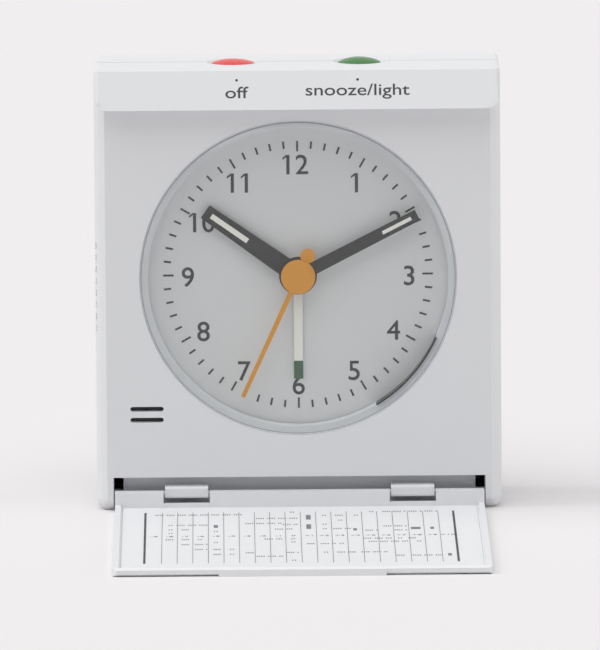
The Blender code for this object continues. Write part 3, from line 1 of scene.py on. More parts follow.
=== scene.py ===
"""Dress the travel alarm clock: prints, inlays, lens, screws, finishes and a small studio."""
import json
import math
from functools import partial

import bmesh
import bpy
from bpy.props import FloatProperty, FloatVectorProperty, IntProperty, PointerProperty
from mathutils import Matrix, Vector


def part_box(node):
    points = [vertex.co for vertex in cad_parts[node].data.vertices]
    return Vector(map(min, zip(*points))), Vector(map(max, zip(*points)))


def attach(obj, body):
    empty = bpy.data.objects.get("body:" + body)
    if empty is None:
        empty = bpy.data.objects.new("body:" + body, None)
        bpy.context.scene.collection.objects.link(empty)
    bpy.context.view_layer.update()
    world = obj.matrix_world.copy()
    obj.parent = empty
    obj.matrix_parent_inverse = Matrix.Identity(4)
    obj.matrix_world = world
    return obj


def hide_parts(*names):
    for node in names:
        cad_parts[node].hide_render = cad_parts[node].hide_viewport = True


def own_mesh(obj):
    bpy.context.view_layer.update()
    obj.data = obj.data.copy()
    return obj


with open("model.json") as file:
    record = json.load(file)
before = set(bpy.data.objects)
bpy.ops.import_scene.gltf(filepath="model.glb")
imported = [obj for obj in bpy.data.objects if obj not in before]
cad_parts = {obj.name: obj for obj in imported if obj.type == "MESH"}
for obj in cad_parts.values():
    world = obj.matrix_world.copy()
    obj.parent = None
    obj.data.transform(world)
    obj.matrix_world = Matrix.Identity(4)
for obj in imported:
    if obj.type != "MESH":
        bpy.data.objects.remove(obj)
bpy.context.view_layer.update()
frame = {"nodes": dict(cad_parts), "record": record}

bl_info = {
    "name": "Travel alarm clock dresser",
    "version": (1, 0, 0),
    "blender": (4, 5, 0),
    "location": "3D View > Sidebar > Clock",
    "description": "Prints, inlays, lens, screws, finishes and a studio for a travel alarm clock",
    "category": "Object",
}

MM = 0.001
WELD = 0.001 * MM


def box(node):
    """The low and the high corner of a CAD node."""
    return [Vector(corner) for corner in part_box(node)]


# Places taken from the frame
LENS = box("lens")
DIAL = box("dial_plate")
CASE = box("front_case")
REAR = box("rear_case")
CARD = box("chart_card")
DIAL_CENTRE = (DIAL[0] + DIAL[1]) / 2
DIAL_FACE_Y = DIAL[0].y

# The turn that stands a flat round piece up to face the front
FACING = (math.radians(90), 0, 0)
# The least share of a face's normal that points the way the face is said to look
ALIGNED = 0.9

# Lens and lamp window
LENS_GAP = 0.18 * MM
LENS_RIM_DEPTH = 0.5 * MM
LENS_EDGE_ROUND = 0.08 * MM
LENS_SIDES = 144
# Line of painted shadow round the lens: sides and upright stretch of its ring
EDGE_LINE_SIDES = 8
EDGE_LINE_STRETCH = 2.0
# The strip at the lamp window is painted shade: its width, starting length and steps
WINDOW_STRIP_WIDTH = 0.3 * MM
WINDOW_STRIP_START = 0.2 * MM
WINDOW_STEPS = 28

# Marks and numerals
MINUTE_DEGREES = 6
HOUR_DEGREES = 30
# Height of a tall letter as a share of the letter size
LETTER_SHARE = 0.73
# Numerals: shares of their height for the added weight and for the stroke at the top of a one
NUMERAL_WEIGHT = 0.011
FLAG_LENGTH = 0.19
FLAG_WIDTH = 0.11
FLAG_FALL = 0.15
# Millimetres by which each numeral, from one to twelve, sits off its place on the ring: across and up
NUMERAL_SHIFTS = ((0.65, -0.75), (0.3, -0.35), (0, -0.35), (-0.2, -0.25), (0, -0.25), (0, -0.05),
                  (0.25, -0.2), (0.25, -0.25), (0.2, -0.35), (0.5, -0.45), (-0.45, -0.65), (0, 0))

# Inlays and the painted tip: name, hand, body, clock angle, inner and outer radius and width in
# millimetres, finish
INLAYS = (("hour_inlay", "hour_hand", "hour_hand_set", 305.3, 11.6, 20.0, 1.0, "cream_paint"),
          ("minute_inlay", "minute_hand", "minute_hand_set", 63.0, 18.0, 24.1, 0.7, "cream_paint"),
          ("alarm_tip", "alarm_hand", "alarm_hand_set", 180.0, 16.4, 19.82, 1.75, "green_tip_paint"))
INLAY_THICKNESS = 0.06 * MM
INLAY_ROUND = 0.015 * MM

# The face of the sloped strip: heights of its low and its high edge, how far the high one lies back
STRIP_LOW_Z = 77.3 * MM
STRIP_HIGH_Z = 84.35 * MM
STRIP_SET_BACK = 0.6 * MM
# Labels: text, place across and height in millimetres. Dots: places across and their one height
LABELS = (("off", -11.35, 80.45), ("snooze/light", 11.5, 80.5))
LABEL_STRETCH = 1.26
LABEL_WEIGHT = 0.007
DOTS = (-11.4, 11.5)
DOT_HEIGHT = 82.65
DOT_RADIUS = 0.25 * MM
DOT_SIDES = 20

# Chart, measured from the card's root
CARD_ROOT_Y = CARD[1].y
CHART_NEAR = 5.3 * MM
CHART_FAR = 61.5 * MM
OUTER_LINE = 0.42 * MM
INNER_LINE = 0.085 * MM
FIRST_LINE_SHIFT = 0.3 * MM
FIRST_OFFSET = -9
OFFSET_HEIGHT = 1.3 * MM
CARD_ROUND = 0.5 * MM
CARD_UPRIGHT = 0.1 * MM
STROKE_WIDTH = 0.24 * MM
STROKE_LENGTH = 1.0 * MM
# Millimetres from stroke to stroke, and the group whose last stroke is left out
STROKE_PITCH = 0.42
STROKE_GROUP = 5
# Rows of entries on the chart: millimetres down from the card's root, then spans across
CHART_ENTRIES = (
    (5.5, ((-2, -1), (13, 14), (15.5, 20), (20.5, 23), (23.5, 26))),
    (8.0, ((-27.5, -11),)),
    (9.5, ((4, 5), (6.5, 8.5), (10, 11))),
    (12.5, ((-8.5, -0.5),)),
    (15.0, ((7, 8),)),
    (18.0, ((-10.5, -3.5),)),
    (19.5, ((-25, -24), (-23.5, -17.5), (-3.5, -0.5), (4, 5))),
    (22.0, ((15.5, 20),)),
    (24.5, ((-25, -24), (-22.5, -21), (-5, -1.5), (4, 5), (6, 9.5))),
    (26.5, ((-16.5, -15.5), (12, 14.5), (17.5, 20))),
    (28.5, ((-25, -24),)),
    (35.5, ((-25.5, -23.5), (-22.5, -20.5), (-19.5, -18.5), (-7, -3.5), (-2, -1), (11.5, 17), (18, 19),
            (20, 21.5))),
    (39.0, ((-16.5, -15.5), (-2, -1), (12.5, 20), (21.5, 22.5))),
    (41.0, ((-22.5, -21), (-20, -17.5), (1, 2.5), (3.5, 6.5), (7, 8))),
    (46.5, ((-20, -17.5), (-16.5, -15), (-13.5, -12.5))),
    (50.5, ((-10.5, -8.5), (-3, -0.5), (4, 5), (6.5, 10.5), (11, 16))),
    (52.0, ((-16.5, -15), (-13.5, -12.5))),
    (54.5, ((-8.5, -3.5), (17.5, 19.5), (20.5, 26))),
    (59.0, ((-2, -1),)),
)
# Darker blocks: place across and down, width and length in millimetres
CHART_BLOCKS = ((1.5, 11.5, 0.9, 5.0), (1.5, 22.0, 0.9, 5.0), (-16.0, 21.0, 0.8, 3.0),
                (21.6, 24.5, 1.8, 2.4), (24.7, 24.5, 0.7, 2.4), (27.5, 54.0, 0.7, 2.6),
                (10.2, 25.5, 0.7, 2.4))

# Buttons: node, body, slot
BUTTONS = (("off_button", "off_push", "red_button"), ("snooze_button", "snooze_push", "green_button"))
BUTTON_SIDES = 72
DOME_SHARES = (0.97, 0.91, 0.82, 0.70, 0.55, 0.38, 0.2)
DOME_POWER = 0.85
COLLAR_HEIGHT = 0.9 * MM
STEM_RADIUS = 1.3 * MM
STEM_OVERLAP = 0.2 * MM
STEM_SIDES = 24

# Case screws
SCREW_COUNT = 4
SCREW_HEAD = 0.9 * MM
SCREW_HEAD_SIDES = 40
SCREW_RIM = 0.01 * MM
SCREW_EDGE = 0.2 * MM
SCREW_SHAFT_RADIUS = 0.75 * MM
SCREW_SHAFT_SIDES = 24
CROSS_LONG = 1.7 * MM
CROSS_NARROW = 0.42 * MM
CROSS_DEPTH = 0.9 * MM

# Studio
FLOOR_SIZE = 12.0
WORLD_COLOUR = (1, 0.99, 0.985, 1)
SEEN_COLOUR = (0.87, 0.855, 0.86, 1)
AIM_DEPTH = 3.3 * MM
SENSOR_MILLIMETRES = 36.0
CLIP_END = 50.0
# Lamps: name, which is also the setting of their strength, softness in degrees, direction
LAMPS = (("top_light", 70, (-0.12, -0.25, 1.0)), ("right_fill", 60, (1.0, -0.06, 0.2)),
         ("left_fill", 60, (-1.0, -0.06, 0.2)), ("side_light", 24, (-1.0, -0.04, 0.93)))

# CAD nodes that keep their mesh and get a finish
CASE_NODES = ("front_case", "rear_case", "battery_door", "time_set_knob", "alarm_set_knob")
HAND_NODES = {"hour_hand": "black_hand_paint", "minute_hand": "black_hand_paint",
              "alarm_hand": "cream_paint", "second_hand": "yellow_paint"}
WORKS_NODES = {
    "plated_steel": ("second_arbor", "motor_stator", "quartz_crystal", "positive_contact",
                     "negative_contact", "contact_spring", "movement_screw_1", "movement_screw_2",
                     "movement_screw_3", "movement_screw_4"),
    "turned_brass": ("cannon_pinion",),
    "wound_copper": ("motor_coil",),
    "natural_resin": ("alarm_wheel", "hour_wheel", "set_arbor", "alarm_set_shaft", "movement_plate",
                      "movement_cover"),
    "circuit_board": ("movement_board", "lamp_board", "switch_board"),
    "dark_plastic": ("sounder",),
    "cell_jacket": ("battery",),
}

# Finishes: shared group, colour setting, roughness, strength of the relief, and the values of the
# group's and the shader's sockets that aren't the usual ones
FINISH_TABLE = {
    "case_plastic": ("moulded", "shell", 0.45, 0.12, {"Specular IOR Level": 0.34}),
    "cover_plastic": ("moulded", "cover", 0.36, 0.08, {"Specular IOR Level": 0.4}),
    "red_button_plastic": ("moulded", "red", 0.27, 0.05, {"Wear": 0.1, "Specular IOR Level": 0.24}),
    "green_button_plastic": ("moulded", "green", 0.27, 0.05, {"Wear": 0.1, "Specular IOR Level": 0.24}),
    "natural_resin": ("moulded", "resin", 0.45, 0.08, {}),
    "dark_plastic": ("moulded", "dark", 0.48, 0.1, {}),
    "dial_paint": ("printed", "dial", 0.62, 0.06, {"Speckle": 0.02}),
    "card_stock": ("printed", "card", 0.55, 0.08, {"Speckle": 0.02}),
    "dark_ink": ("printed", "ink", 0.5, 0.05, {}),
    "grey_ink": ("printed", "grey", 0.5, 0.04, {}),
    # Painted shadow for the narrow gap round the lens
    "edge_glue": ("printed", "glue", 0.35, 0.05, {}),
    # Painted shade for the dark inside seen through the lamp window
    "dark_window": ("printed", "window", 0.3, 0.04, {}),
    "black_hand_paint": ("printed", "black_hand", 0.38, 0.05, {}),
    "cream_paint": ("printed", "cream", 0.6, 0.08, {"Speckle": 0.03}),
    "yellow_paint": ("printed", "yellow", 0.42, 0.05, {"Speckle": 0.02}),
    "green_tip_paint": ("printed", "tip", 0.5, 0.05, {}),
    "circuit_board": ("printed", "board", 0.42, 0.1, {}),
    "cell_jacket": ("printed", "jacket", 0.33, 0.05, {}),
    "floor_paper": ("printed", "floor", 0.8, 0.03, {"Speckle": 0.01}),
    "plated_steel": ("metal", "steel", 0.28, 0.05, {"Metallic": 1.0}),
    "turned_brass": ("metal", "brass", 0.26, 0.05, {"Metallic": 1.0}),
    "wound_copper": ("metal", "copper", 0.34, 0.2, {"Metallic": 1.0, "Stretch": (1.0, 0.05, 0.05)}),
}
RELIEF_DEPTH = 0.02 * MM

# Shared groups: cells of their noises per metre, and the tones that they bring in
DRIFT_PER_METRE = 45.0
DRIFT_TONE = (0.62, 0.63, 0.66, 1)
SMUDGES_PER_METRE = 160.0
WORN_EDGE = 0.35 * MM
WORN_TONE = (0.93, 0.93, 0.92, 1)
SPECKS_PER_METRE = 5200.0
SPECK_TONE = (0.55, 0.55, 0.55, 1)
CLOUDS_PER_METRE = 260.0
LINES_PER_METRE = 2600.0
SPOTS_PER_METRE = 420.0
SPOT_TONE = (0.32, 0.29, 0.25, 1)
CLEAR_IOR = 1.40
CLEAR_ROUGHNESS = 0.06


# The kinds of settings
Length = partial(FloatProperty, subtype="DISTANCE", unit="LENGTH", precision=5)
Angle = partial(FloatProperty, subtype="ANGLE", unit="ROTATION")
Colour = partial(FloatVectorProperty, subtype="COLOR", min=0, max=1)
Strength = partial(FloatProperty, min=0)


class ClockSizes(bpy.types.PropertyGroup):
    """Sizes of what is printed on or set into the clock."""
    ink: Length(name="Ink", description="How far a print stands proud", default=0.03 * MM)
    tick_reach: Length(name="Tick reach", description="Outer radius of the minute marks", default=25.5 * MM)
    minute_tick: Length(name="Minute tick", description="Length of a minute mark", default=1.4 * MM)
    hour_tick: Length(name="Hour tick", description="Length of an hour mark", default=2.0 * MM)
    tick_width: Length(name="Tick width", description="Width of every mark", default=0.37 * MM)
    numeral_height: Length(name="Numeral height", description="Height of the numerals", default=3.85 * MM)
    numeral_radius: Length(name="Numeral radius", description="Distance from the axis", default=21.0 * MM)
    lens_bevel: Length(name="Lens bevel", description="Width of the lens's slope", default=0.75 * MM)
    window_radius: Length(name="Window radius", description="Radius of the lamp window", default=28.44 * MM)
    window_from: Angle(name="Window start", description="Clock angle of its start",
                       default=math.radians(114.3))
    window_to: Angle(name="Window end", description="Clock angle of its end", default=math.radians(148.8))
    label_height: Length(name="Label height", description="Height of a tall letter", default=2.36 * MM)
    button_radius: Length(name="Button radius", description="Radius of a push button", default=4.0 * MM)
    button_sink: Length(name="Button sink", description="Depth of the rim below the top", default=0.2 * MM)
    button_skirt: Length(name="Button skirt", description="Height of a button's side", default=2.8 * MM)
    chart_half: Length(name="Chart half width", description="Distance of the outer lines",
                       default=29.0 * MM)
    card_grow: Length(name="Card growth", description="Reach into the gap round it", default=0.25 * MM)
    offset_row: Length(name="Offset row", description="Row of hours from the card's root",
                       default=32.0 * MM)
    chart_columns: IntProperty(name="Chart columns", description="Columns of the hour chart", default=20,
                               min=2, max=24)


class ClockColours(bpy.types.PropertyGroup):
    """Base colours of the finishes."""
    shell: Colour(name="Shell", description="White moulded case", default=(0.755, 0.765, 0.785))
    cover: Colour(name="Cover", description="White moulded cover", default=(0.785, 0.795, 0.815))
    dial: Colour(name="Dial", description="Printed dial plate", default=(0.74, 0.74, 0.745))
    card: Colour(name="Card", description="Printed card on the cover", default=(0.775, 0.785, 0.80))
    ink: Colour(name="Ink", description="Dark printing ink", default=(0.02, 0.02, 0.024))
    grey: Colour(name="Grey ink", description="Entries of the chart", default=(0.16, 0.16, 0.18))
    # Painted shadow: the dark line in the gap round the lens stands for the shade there
    glue: Colour(name="Gap shadow", description="Line round the lens", default=(0.36, 0.35, 0.40))
    # Painted shade: the strip stands for the dark inside seen through the lamp window
    window: Colour(name="Window", description="Strip at the lamp window", default=(0.012, 0.012, 0.014))
    black_hand: Colour(name="Black hands", description="Hour and minute hands",
                       default=(0.006, 0.006, 0.007))
    cream: Colour(name="Cream", description="Alarm hand and inlays", default=(0.90, 0.89, 0.82))
    yellow: Colour(name="Yellow", description="Second hand", default=(0.72, 0.295, 0.009))
    tip: Colour(name="Green tip", description="Painted tip of the alarm hand", default=(0.03, 0.105, 0.045))
    red: Colour(name="Red button", description="Alarm off button", default=(0.74, 0.028, 0.018))
    green: Colour(name="Green button", description="Snooze and light button", default=(0.042, 0.185, 0.042))
    clear: Colour(name="Clear plastic", description="Lens and lamp", default=(0.96, 0.97, 0.97))
    through: Colour(name="Light through", description="What clear plastic lets by",
                    default=(0.93, 0.94, 0.94))
    steel: Colour(name="Steel", description="Plated steel", default=(0.62, 0.62, 0.63))
    brass: Colour(name="Brass", description="Turned brass", default=(0.71, 0.53, 0.24))
    copper: Colour(name="Copper", description="Winding of the coil", default=(0.63, 0.29, 0.14))
    resin: Colour(name="Resin", description="Natural moulding of the movement", default=(0.72, 0.70, 0.63))
    board: Colour(name="Board", description="Circuit boards", default=(0.05, 0.19, 0.09))
    dark: Colour(name="Dark plastic", description="Sounder", default=(0.06, 0.06, 0.065))
    jacket: Colour(name="Jacket", description="Plain sleeve of the cell", default=(0.05, 0.05, 0.055))
    floor: Colour(name="Floor", description="Paper floor of the studio", default=(0.80, 0.785, 0.79))


class StudioSettings(bpy.types.PropertyGroup):
    """Camera and light of the studio."""
    azimuth: Angle(name="Azimuth", description="Turn round the clock", default=math.radians(-0.375))
    elevation: Angle(name="Elevation", description="Height above the horizon", default=math.radians(8.75))
    roll: Angle(name="Roll", description="Turn about its own axis", default=math.radians(0.40))
    distance: Length(name="Distance", description="Camera to the middle of the picture", default=2.4)
    focal_length: FloatProperty(name="Focal length", description="Lens in millimetres", default=700.0,
                                subtype="DISTANCE_CAMERA")
    aim_x: Length(name="Aim across", description="Middle of the picture, sideways", default=0.29 * MM)
    aim_z: Length(name="Aim up", description="Middle of the picture, above the floor", default=35.58 * MM)
    top_light: Strength(name="Top light", description="Strength of the light overhead", default=1.67)
    side_light: Strength(name="Side light", description="Strength of the light from the left", default=0.6)
    right_fill: Strength(name="Right fill", description="Strength of the fill from the right", default=0.9)
    left_fill: Strength(name="Left fill", description="Strength of the fill from the left", default=0.6)
    world: Strength(name="World", description="Strength of the light all round", default=0.315)


# Small modelling helpers

def deselect():
    """Leave edit mode and select nothing."""
    if bpy.context.mode != "OBJECT":
        bpy.ops.object.mode_set(mode="OBJECT")
    bpy.ops.object.select_all(action="DESELECT")


def take(obj):
    """Select one object alone and make it the active one."""
    deselect()
    obj.select_set(True)
    bpy.context.view_layer.objects.active = obj
    return obj


def made(name):
    """The object that an operator has just made, under its name."""
    obj = bpy.context.object
    obj.name = name
    return obj


def edit(obj, kind="FACE"):
    """Open an object in edit mode with nothing selected."""
    take(obj)
    bpy.ops.object.mode_set(mode="EDIT")
    bpy.ops.mesh.select_mode(type=kind)
    bpy.ops.mesh.select_all(action="DESELECT")


def pick_faces(obj, test):
    """Select the faces whose middle and normal pass the test."""
    bm = bmesh.from_edit_mesh(obj.data)
    for face in bm.faces:
        face.select_set(test(face.calc_center_median(), face.normal))
    bmesh.update_edit_mesh(obj.data)


def pick_edges(obj, test):
    """Select the edges whose two ends pass the test."""
    bm = bmesh.from_edit_mesh(obj.data)
    for edge in bm.edges:
        edge.select_set(test(edge.verts[0].co, edge.verts[1].co))
    bmesh.update_edit_mesh(obj.data)


def weld():
    """Merge the doubles of the mesh in edit mode and point its faces outwards."""
    bpy.ops.mesh.select_all(action="SELECT")
    bpy.ops.mesh.remove_doubles(threshold=WELD)
    bpy.ops.mesh.normals_make_consistent(inside=False)


def bake_place(obj):
    """Put the object's place, turn and scale into its mesh and weld it."""
    take(obj)
    bpy.ops.object.transform_apply(location=True, rotation=True, scale=True)
    bpy.ops.object.mode_set(mode="EDIT")
    weld()
    bpy.ops.object.mode_set(mode="OBJECT")
    return obj


def bar(name, size, place, turn=(0, 0, 0), bevel=0.0):
    """A small block, with softened edges where a bevel is given."""
    deselect()
    bpy.ops.mesh.primitive_cube_add(size=1, location=place, rotation=turn, scale=size)
    obj = take(made(name))
    bpy.ops.object.transform_apply(location=False, rotation=False, scale=True)
    if bevel:
        edit(obj, "EDGE")
        bpy.ops.mesh.select_all(action="SELECT")
        bpy.ops.mesh.bevel(offset=bevel, segments=2, affect="EDGES")
    return bake_place(obj)


def disc(name, radius, depth, place, turn=(0, 0, 0), vertices=48):
    """A flat round block."""
    deselect()
    bpy.ops.mesh.primitive_cylinder_add(vertices=vertices, radius=radius, depth=depth,
                                        location=place, rotation=turn)
    return bake_place(made(name))


def words(name, text, height, thickness, place, turn, stretch=1.0, weight=0.0):
    """Flat letters of a given height, their middle at the place, widened and thickened as asked."""
    deselect()
    bpy.ops.object.text_add(location=(0, 0, 0))
    obj = made(name)
    obj.data.body = text
    obj.data.size = height / LETTER_SHARE
    obj.data.extrude = thickness / 2
    obj.data.resolution_u = 6
    bpy.ops.object.convert(target="MESH")
    obj = bpy.context.object
    if weight:
        edit(obj, "VERT")
        weld()
        bpy.ops.transform.shrink_fatten(value=weight, use_even_offset=True)
        deselect()
        take(obj)
    bpy.ops.object.origin_set(type="ORIGIN_GEOMETRY", center="BOUNDS")
    obj.location = place
    obj.rotation_euler = turn
    obj.scale = (stretch, 1, thickness / obj.dimensions.z)
    return bake_place(obj)


def join(name, pieces):
    """Make one object of several."""
    take(pieces[0])
    for piece in pieces[1:]:
        piece.select_set(True)
    if len(pieces) > 1:
        bpy.ops.object.join()
    obj = made(name)
    obj.data.name = name
    return obj


def twin(obj, move):
    """A copy of a piece with its own mesh, moved by a matrix."""
    other = obj.copy()
    other.data = obj.data.copy()
    other.data.transform(move)
    bpy.context.collection.objects.link(other)
    return other


def soften(obj, degrees=35):
    """Shade smooth with the sharp edges kept."""
    take(obj)
    bpy.ops.object.shade_smooth_by_angle(angle=math.radians(degrees))
    return obj


def dress(obj, body, material):
    """Give a finished piece its body and its finish."""
    obj.data.materials.clear()
    obj.data.materials.append(material)
    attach(obj, body)
    return obj


def paint(node, material):
    """Give a CAD node a finish."""
    for slot in frame["nodes"][node].material_slots:
        slot.material = material


def clock_place(radius, degrees, y):
    """A place on the dial by its clock angle from twelve."""
    angle = math.radians(degrees)
    return Vector((DIAL_CENTRE.x + radius * math.sin(angle), y,
                   DIAL_CENTRE.z + radius * math.cos(angle)))


def about_dial(degrees):
    """A clockwise turn about the hands' axis."""
    centre = Matrix.Translation(DIAL_CENTRE)
    return centre @ Matrix.Rotation(math.radians(degrees), 4, "Y") @ centre.inverted()


# Shared shader groups

def new_group(name, inputs):
    """An empty shader group with the given inputs, which puts out colour, roughness and height."""
    group = bpy.data.node_groups.new(name, "ShaderNodeTree")
    for label, value in inputs.items():
        size = 1 if isinstance(value, float) else len(value)
        kind = {1: "NodeSocketFloat", 3: "NodeSocketVector", 4: "NodeSocketColor"}[size]
        group.interface.new_socket(label, in_out="INPUT", socket_type=kind).default_value = value
    for label, kind in (("Color", "NodeSocketColor"), ("Roughness", "NodeSocketFloat"),
                        ("Height", "NodeSocketFloat")):
        group.interface.new_socket(label, in_out="OUTPUT", socket_type=kind)
    return group, group.nodes.new("NodeGroupInput"), group.nodes.new("NodeGroupOutput")


def feed(tree, node, values):
    """Set sockets of a node to fixed values, or link other sockets to them."""
    for label, value in values.items():
        if isinstance(value, bpy.types.NodeSocket):
            tree.links.new(value, node.inputs[label])
        else:
            node.inputs[label].default_value = value


def noise(tree, vector, scale, detail=2.0, roughness=0.5):
    """An even grey noise with a number of cells per metre."""
    node = tree.nodes.new("ShaderNodeTexNoise")
    feed(tree, node, {"Vector": vector, "Scale": scale, "Detail": detail, "Roughness": roughness})
    return node.outputs["Fac"]


def maths(tree, operation, first, second, clamp=False):
    """One sum with two values."""
    node = tree.nodes.new("ShaderNodeMath")
    node.operation = operation
    node.use_clamp = clamp
    feed(tree, node, {0: first, 1: second})
    return node.outputs[0]


def spread(tree, value, low, high, new_low, new_high):
    """Stretch the range from low to high of a value to a new range."""
    node = tree.nodes.new("ShaderNodeMapRange")
    feed(tree, node, {"Value": value, "From Min": low, "From Max": high, "To Min": new_low,
                      "To Max": new_high})
    return node.outputs["Result"]


def blend_colour(tree, share, first, second):
    """Mix a share of the second colour into the first."""
    node = tree.nodes.new("ShaderNodeMix")
    node.data_type = "RGBA"
    feed(tree, node, {0: share, 6: first, 7: second})
    return node.outputs[2]


def mix_shaders(tree, share, first, second, output):
    """Show the second shader where the share is one, and the first elsewhere."""
    mixed = tree.nodes.new("ShaderNodeMixShader")
    feed(tree, mixed, {0: share, 1: first.outputs[0], 2: second.outputs[0]})
    feed(tree, tree.nodes[output], {"Surface": mixed.outputs[0]})


def moulded_group():
    """Moulded plastic: fine spark texture, slow drift of tone, smudged gloss and worn edges."""
    group, given, result = new_group("moulded_surface", {
        "Colour": (0.8, 0.8, 0.8, 1), "Roughness": 0.4, "Grain per metre": 6000.0, "Grain depth": 0.1,
        "Wear": 0.3})
    place = group.nodes.new("ShaderNodeTexCoord").outputs["Object"]
    grain = noise(group, place, given.outputs["Grain per metre"], detail=3.0, roughness=0.6)
    drift = noise(group, place, DRIFT_PER_METRE)
    smudge = noise(group, place, SMUDGES_PER_METRE, detail=4.0, roughness=0.65)
    bevel = group.nodes.new("ShaderNodeBevel")
    bevel.samples = 6
    feed(group, bevel, {"Radius": WORN_EDGE})
    shape = group.nodes.new("ShaderNodeNewGeometry")
    turned = group.nodes.new("ShaderNodeVectorMath")
    turned.operation = "DOT_PRODUCT"
    feed(group, turned, {0: bevel.outputs["Normal"], 1: shape.outputs["Normal"]})
    edge = spread(group, turned.outputs["Value"], 1.0, 0.86, 0.0, 1.0)
    worn = maths(group, "MULTIPLY", maths(group, "MULTIPLY", edge, given.outputs["Wear"]),
                 spread(group, smudge, 0.35, 0.6, 0.0, 1.0), clamp=True)
    tone = blend_colour(group, spread(group, drift, 0.3, 0.7, 0.0, 0.05), given.outputs["Colour"],
                        DRIFT_TONE)
    tone = blend_colour(group, maths(group, "MULTIPLY", worn, 0.35), tone, WORN_TONE)
    rough = maths(group, "ADD", given.outputs["Roughness"],
                  spread(group, smudge, 0.3, 0.7, -0.05, 0.07))
    rough = maths(group, "SUBTRACT", rough, maths(group, "MULTIPLY", worn, 0.12), clamp=True)
    height = maths(group, "MULTIPLY", grain, given.outputs["Grain depth"])
    feed(group, result, {"Color": tone, "Roughness": rough, "Height": height})
    return group


def ink_group():
    """Screen printed ink or paint: slightly uneven cover, gloss and thickness."""
    group, given, result = new_group("printed_surface", {
        "Colour": (0.05, 0.05, 0.05, 1), "Roughness": 0.5, "Speckle": 0.08})
    place = group.nodes.new("ShaderNodeTexCoord").outputs["Object"]
    fine = noise(group, place, SPECKS_PER_METRE, detail=3.0, roughness=0.7)
    slow = noise(group, place, CLOUDS_PER_METRE)
    lifted = maths(group, "MULTIPLY", spread(group, fine, 0.42, 0.72, 0.0, 1.0),
                   given.outputs["Speckle"])
    tone = blend_colour(group, lifted, given.outputs["Colour"], SPECK_TONE)
    rough = maths(group, "ADD", given.outputs["Roughness"],
                  spread(group, slow, 0.3, 0.7, -0.06, 0.06), clamp=True)
    feed(group, result, {"Color": tone, "Roughness": rough, "Height": fine})
    return group


def metal_group():
    """Turned, stamped or plated metal: fine drawn lines and dull spots."""
    group, given, result = new_group("metal_surface", {
        "Colour": (0.6, 0.6, 0.6, 1), "Roughness": 0.3, "Stretch": (1.0, 1.0, 1.0)})
    place = group.nodes.new("ShaderNodeTexCoord").outputs["Object"]
    drawn = group.nodes.new("ShaderNodeVectorMath")
    drawn.operation = "MULTIPLY"
    feed(group, drawn, {0: place, 1: given.outputs["Stretch"]})
    lines = noise(group, drawn.outputs[0], LINES_PER_METRE, detail=3.0, roughness=0.6)
    spots = noise(group, place, SPOTS_PER_METRE, detail=4.0, roughness=0.7)
    tone = blend_colour(group, spread(group, spots, 0.5, 0.75, 0.0, 0.3), given.outputs["Colour"],
                        SPOT_TONE)
    rough = maths(group, "ADD", given.outputs["Roughness"],
                  spread(group, spots, 0.35, 0.7, -0.05, 0.16))
    rough = maths(group, "ADD", rough, spread(group, lines, 0.3, 0.7, -0.04, 0.04), clamp=True)
    feed(group, result, {"Color": tone, "Roughness": rough, "Height": lines})
    return group


GROUPS = {}
FINISHES = {}


def place_group(tree, kind):
    """A node with the shared group of a kind, which is built when first asked for."""
    if kind not in GROUPS:
        GROUPS[kind] = {"moulded": moulded_group, "printed": ink_group, "metal": metal_group}[kind]()
    surface = tree.nodes.new("ShaderNodeGroup")
    surface.node_tree = GROUPS[kind]
    return surface


def new_material(name):
    """A named material with its node tree and its shader."""
    material = FINISHES[name] = bpy.data.materials.new(name)
    material.use_nodes = True
    return material, material.node_tree, material.node_tree.nodes["Principled BSDF"]


def finish(name):
    """The finish of a name in the table, made when first asked for."""
    if name in FINISHES:
        return FINISHES[name]
    kind, setting, roughness, relief_strength, values = FINISH_TABLE[name]
    colour = (*getattr(bpy.context.scene.clock_colours, setting), 1)
    material, tree, shader = new_material(name)
    surface = place_group(tree, kind)
    relief = tree.nodes.new("ShaderNodeBump")
    feed(tree, surface, {"Colour": colour, "Roughness": roughness})
    feed(tree, relief, {"Strength": relief_strength, "Distance": RELIEF_DEPTH,
                        "Height": surface.outputs["Height"]})
    feed(tree, shader, {"Base Color": surface.outputs["Color"], "Normal": relief.outputs["Normal"],
                        "Roughness": surface.outputs["Roughness"]})
    for label, value in values.items():
        feed(tree, surface if label in surface.inputs else shader, {label: value})
    material.diffuse_color = colour
    return material


def clear_plastic():
    """Clear moulded plastic that lets the light through to the dial."""
    name = "clear_acrylic"
    if name in FINISHES:
        return FINISHES[name]
    colours = bpy.context.scene.clock_colours
    material, tree, shader = new_material(name)
    surface = place_group(tree, "printed")
    feed(tree, surface, {"Roughness": CLEAR_ROUGHNESS})
    feed(tree, shader, {"Base Color": (*colours.clear, 1), "IOR": CLEAR_IOR, "Transmission Weight": 1.0,
                        "Roughness": surface.outputs["Roughness"]})
    clear = tree.nodes.new("ShaderNodeBsdfTransparent")
    feed(tree, clear, {"Color": (*colours.through, 1)})
    path = tree.nodes.new("ShaderNodeLightPath")
    open_ray = maths(tree, "MAXIMUM", path.outputs["Is Shadow Ray"], path.outputs["Is Diffuse Ray"])
    mix_shaders(tree, open_ray, shader, clear, "Material Output")
    return material


class CLOCK_OT_case(bpy.types.Operator):
    """Finish the two shells, the knobs and the battery door"""
    bl_idname = "clock.case"
    bl_label = "Case"

    def execute(self, context):
        for node in CASE_NODES:
            paint(node, finish("case_plastic"))
        return {"FINISHED"}


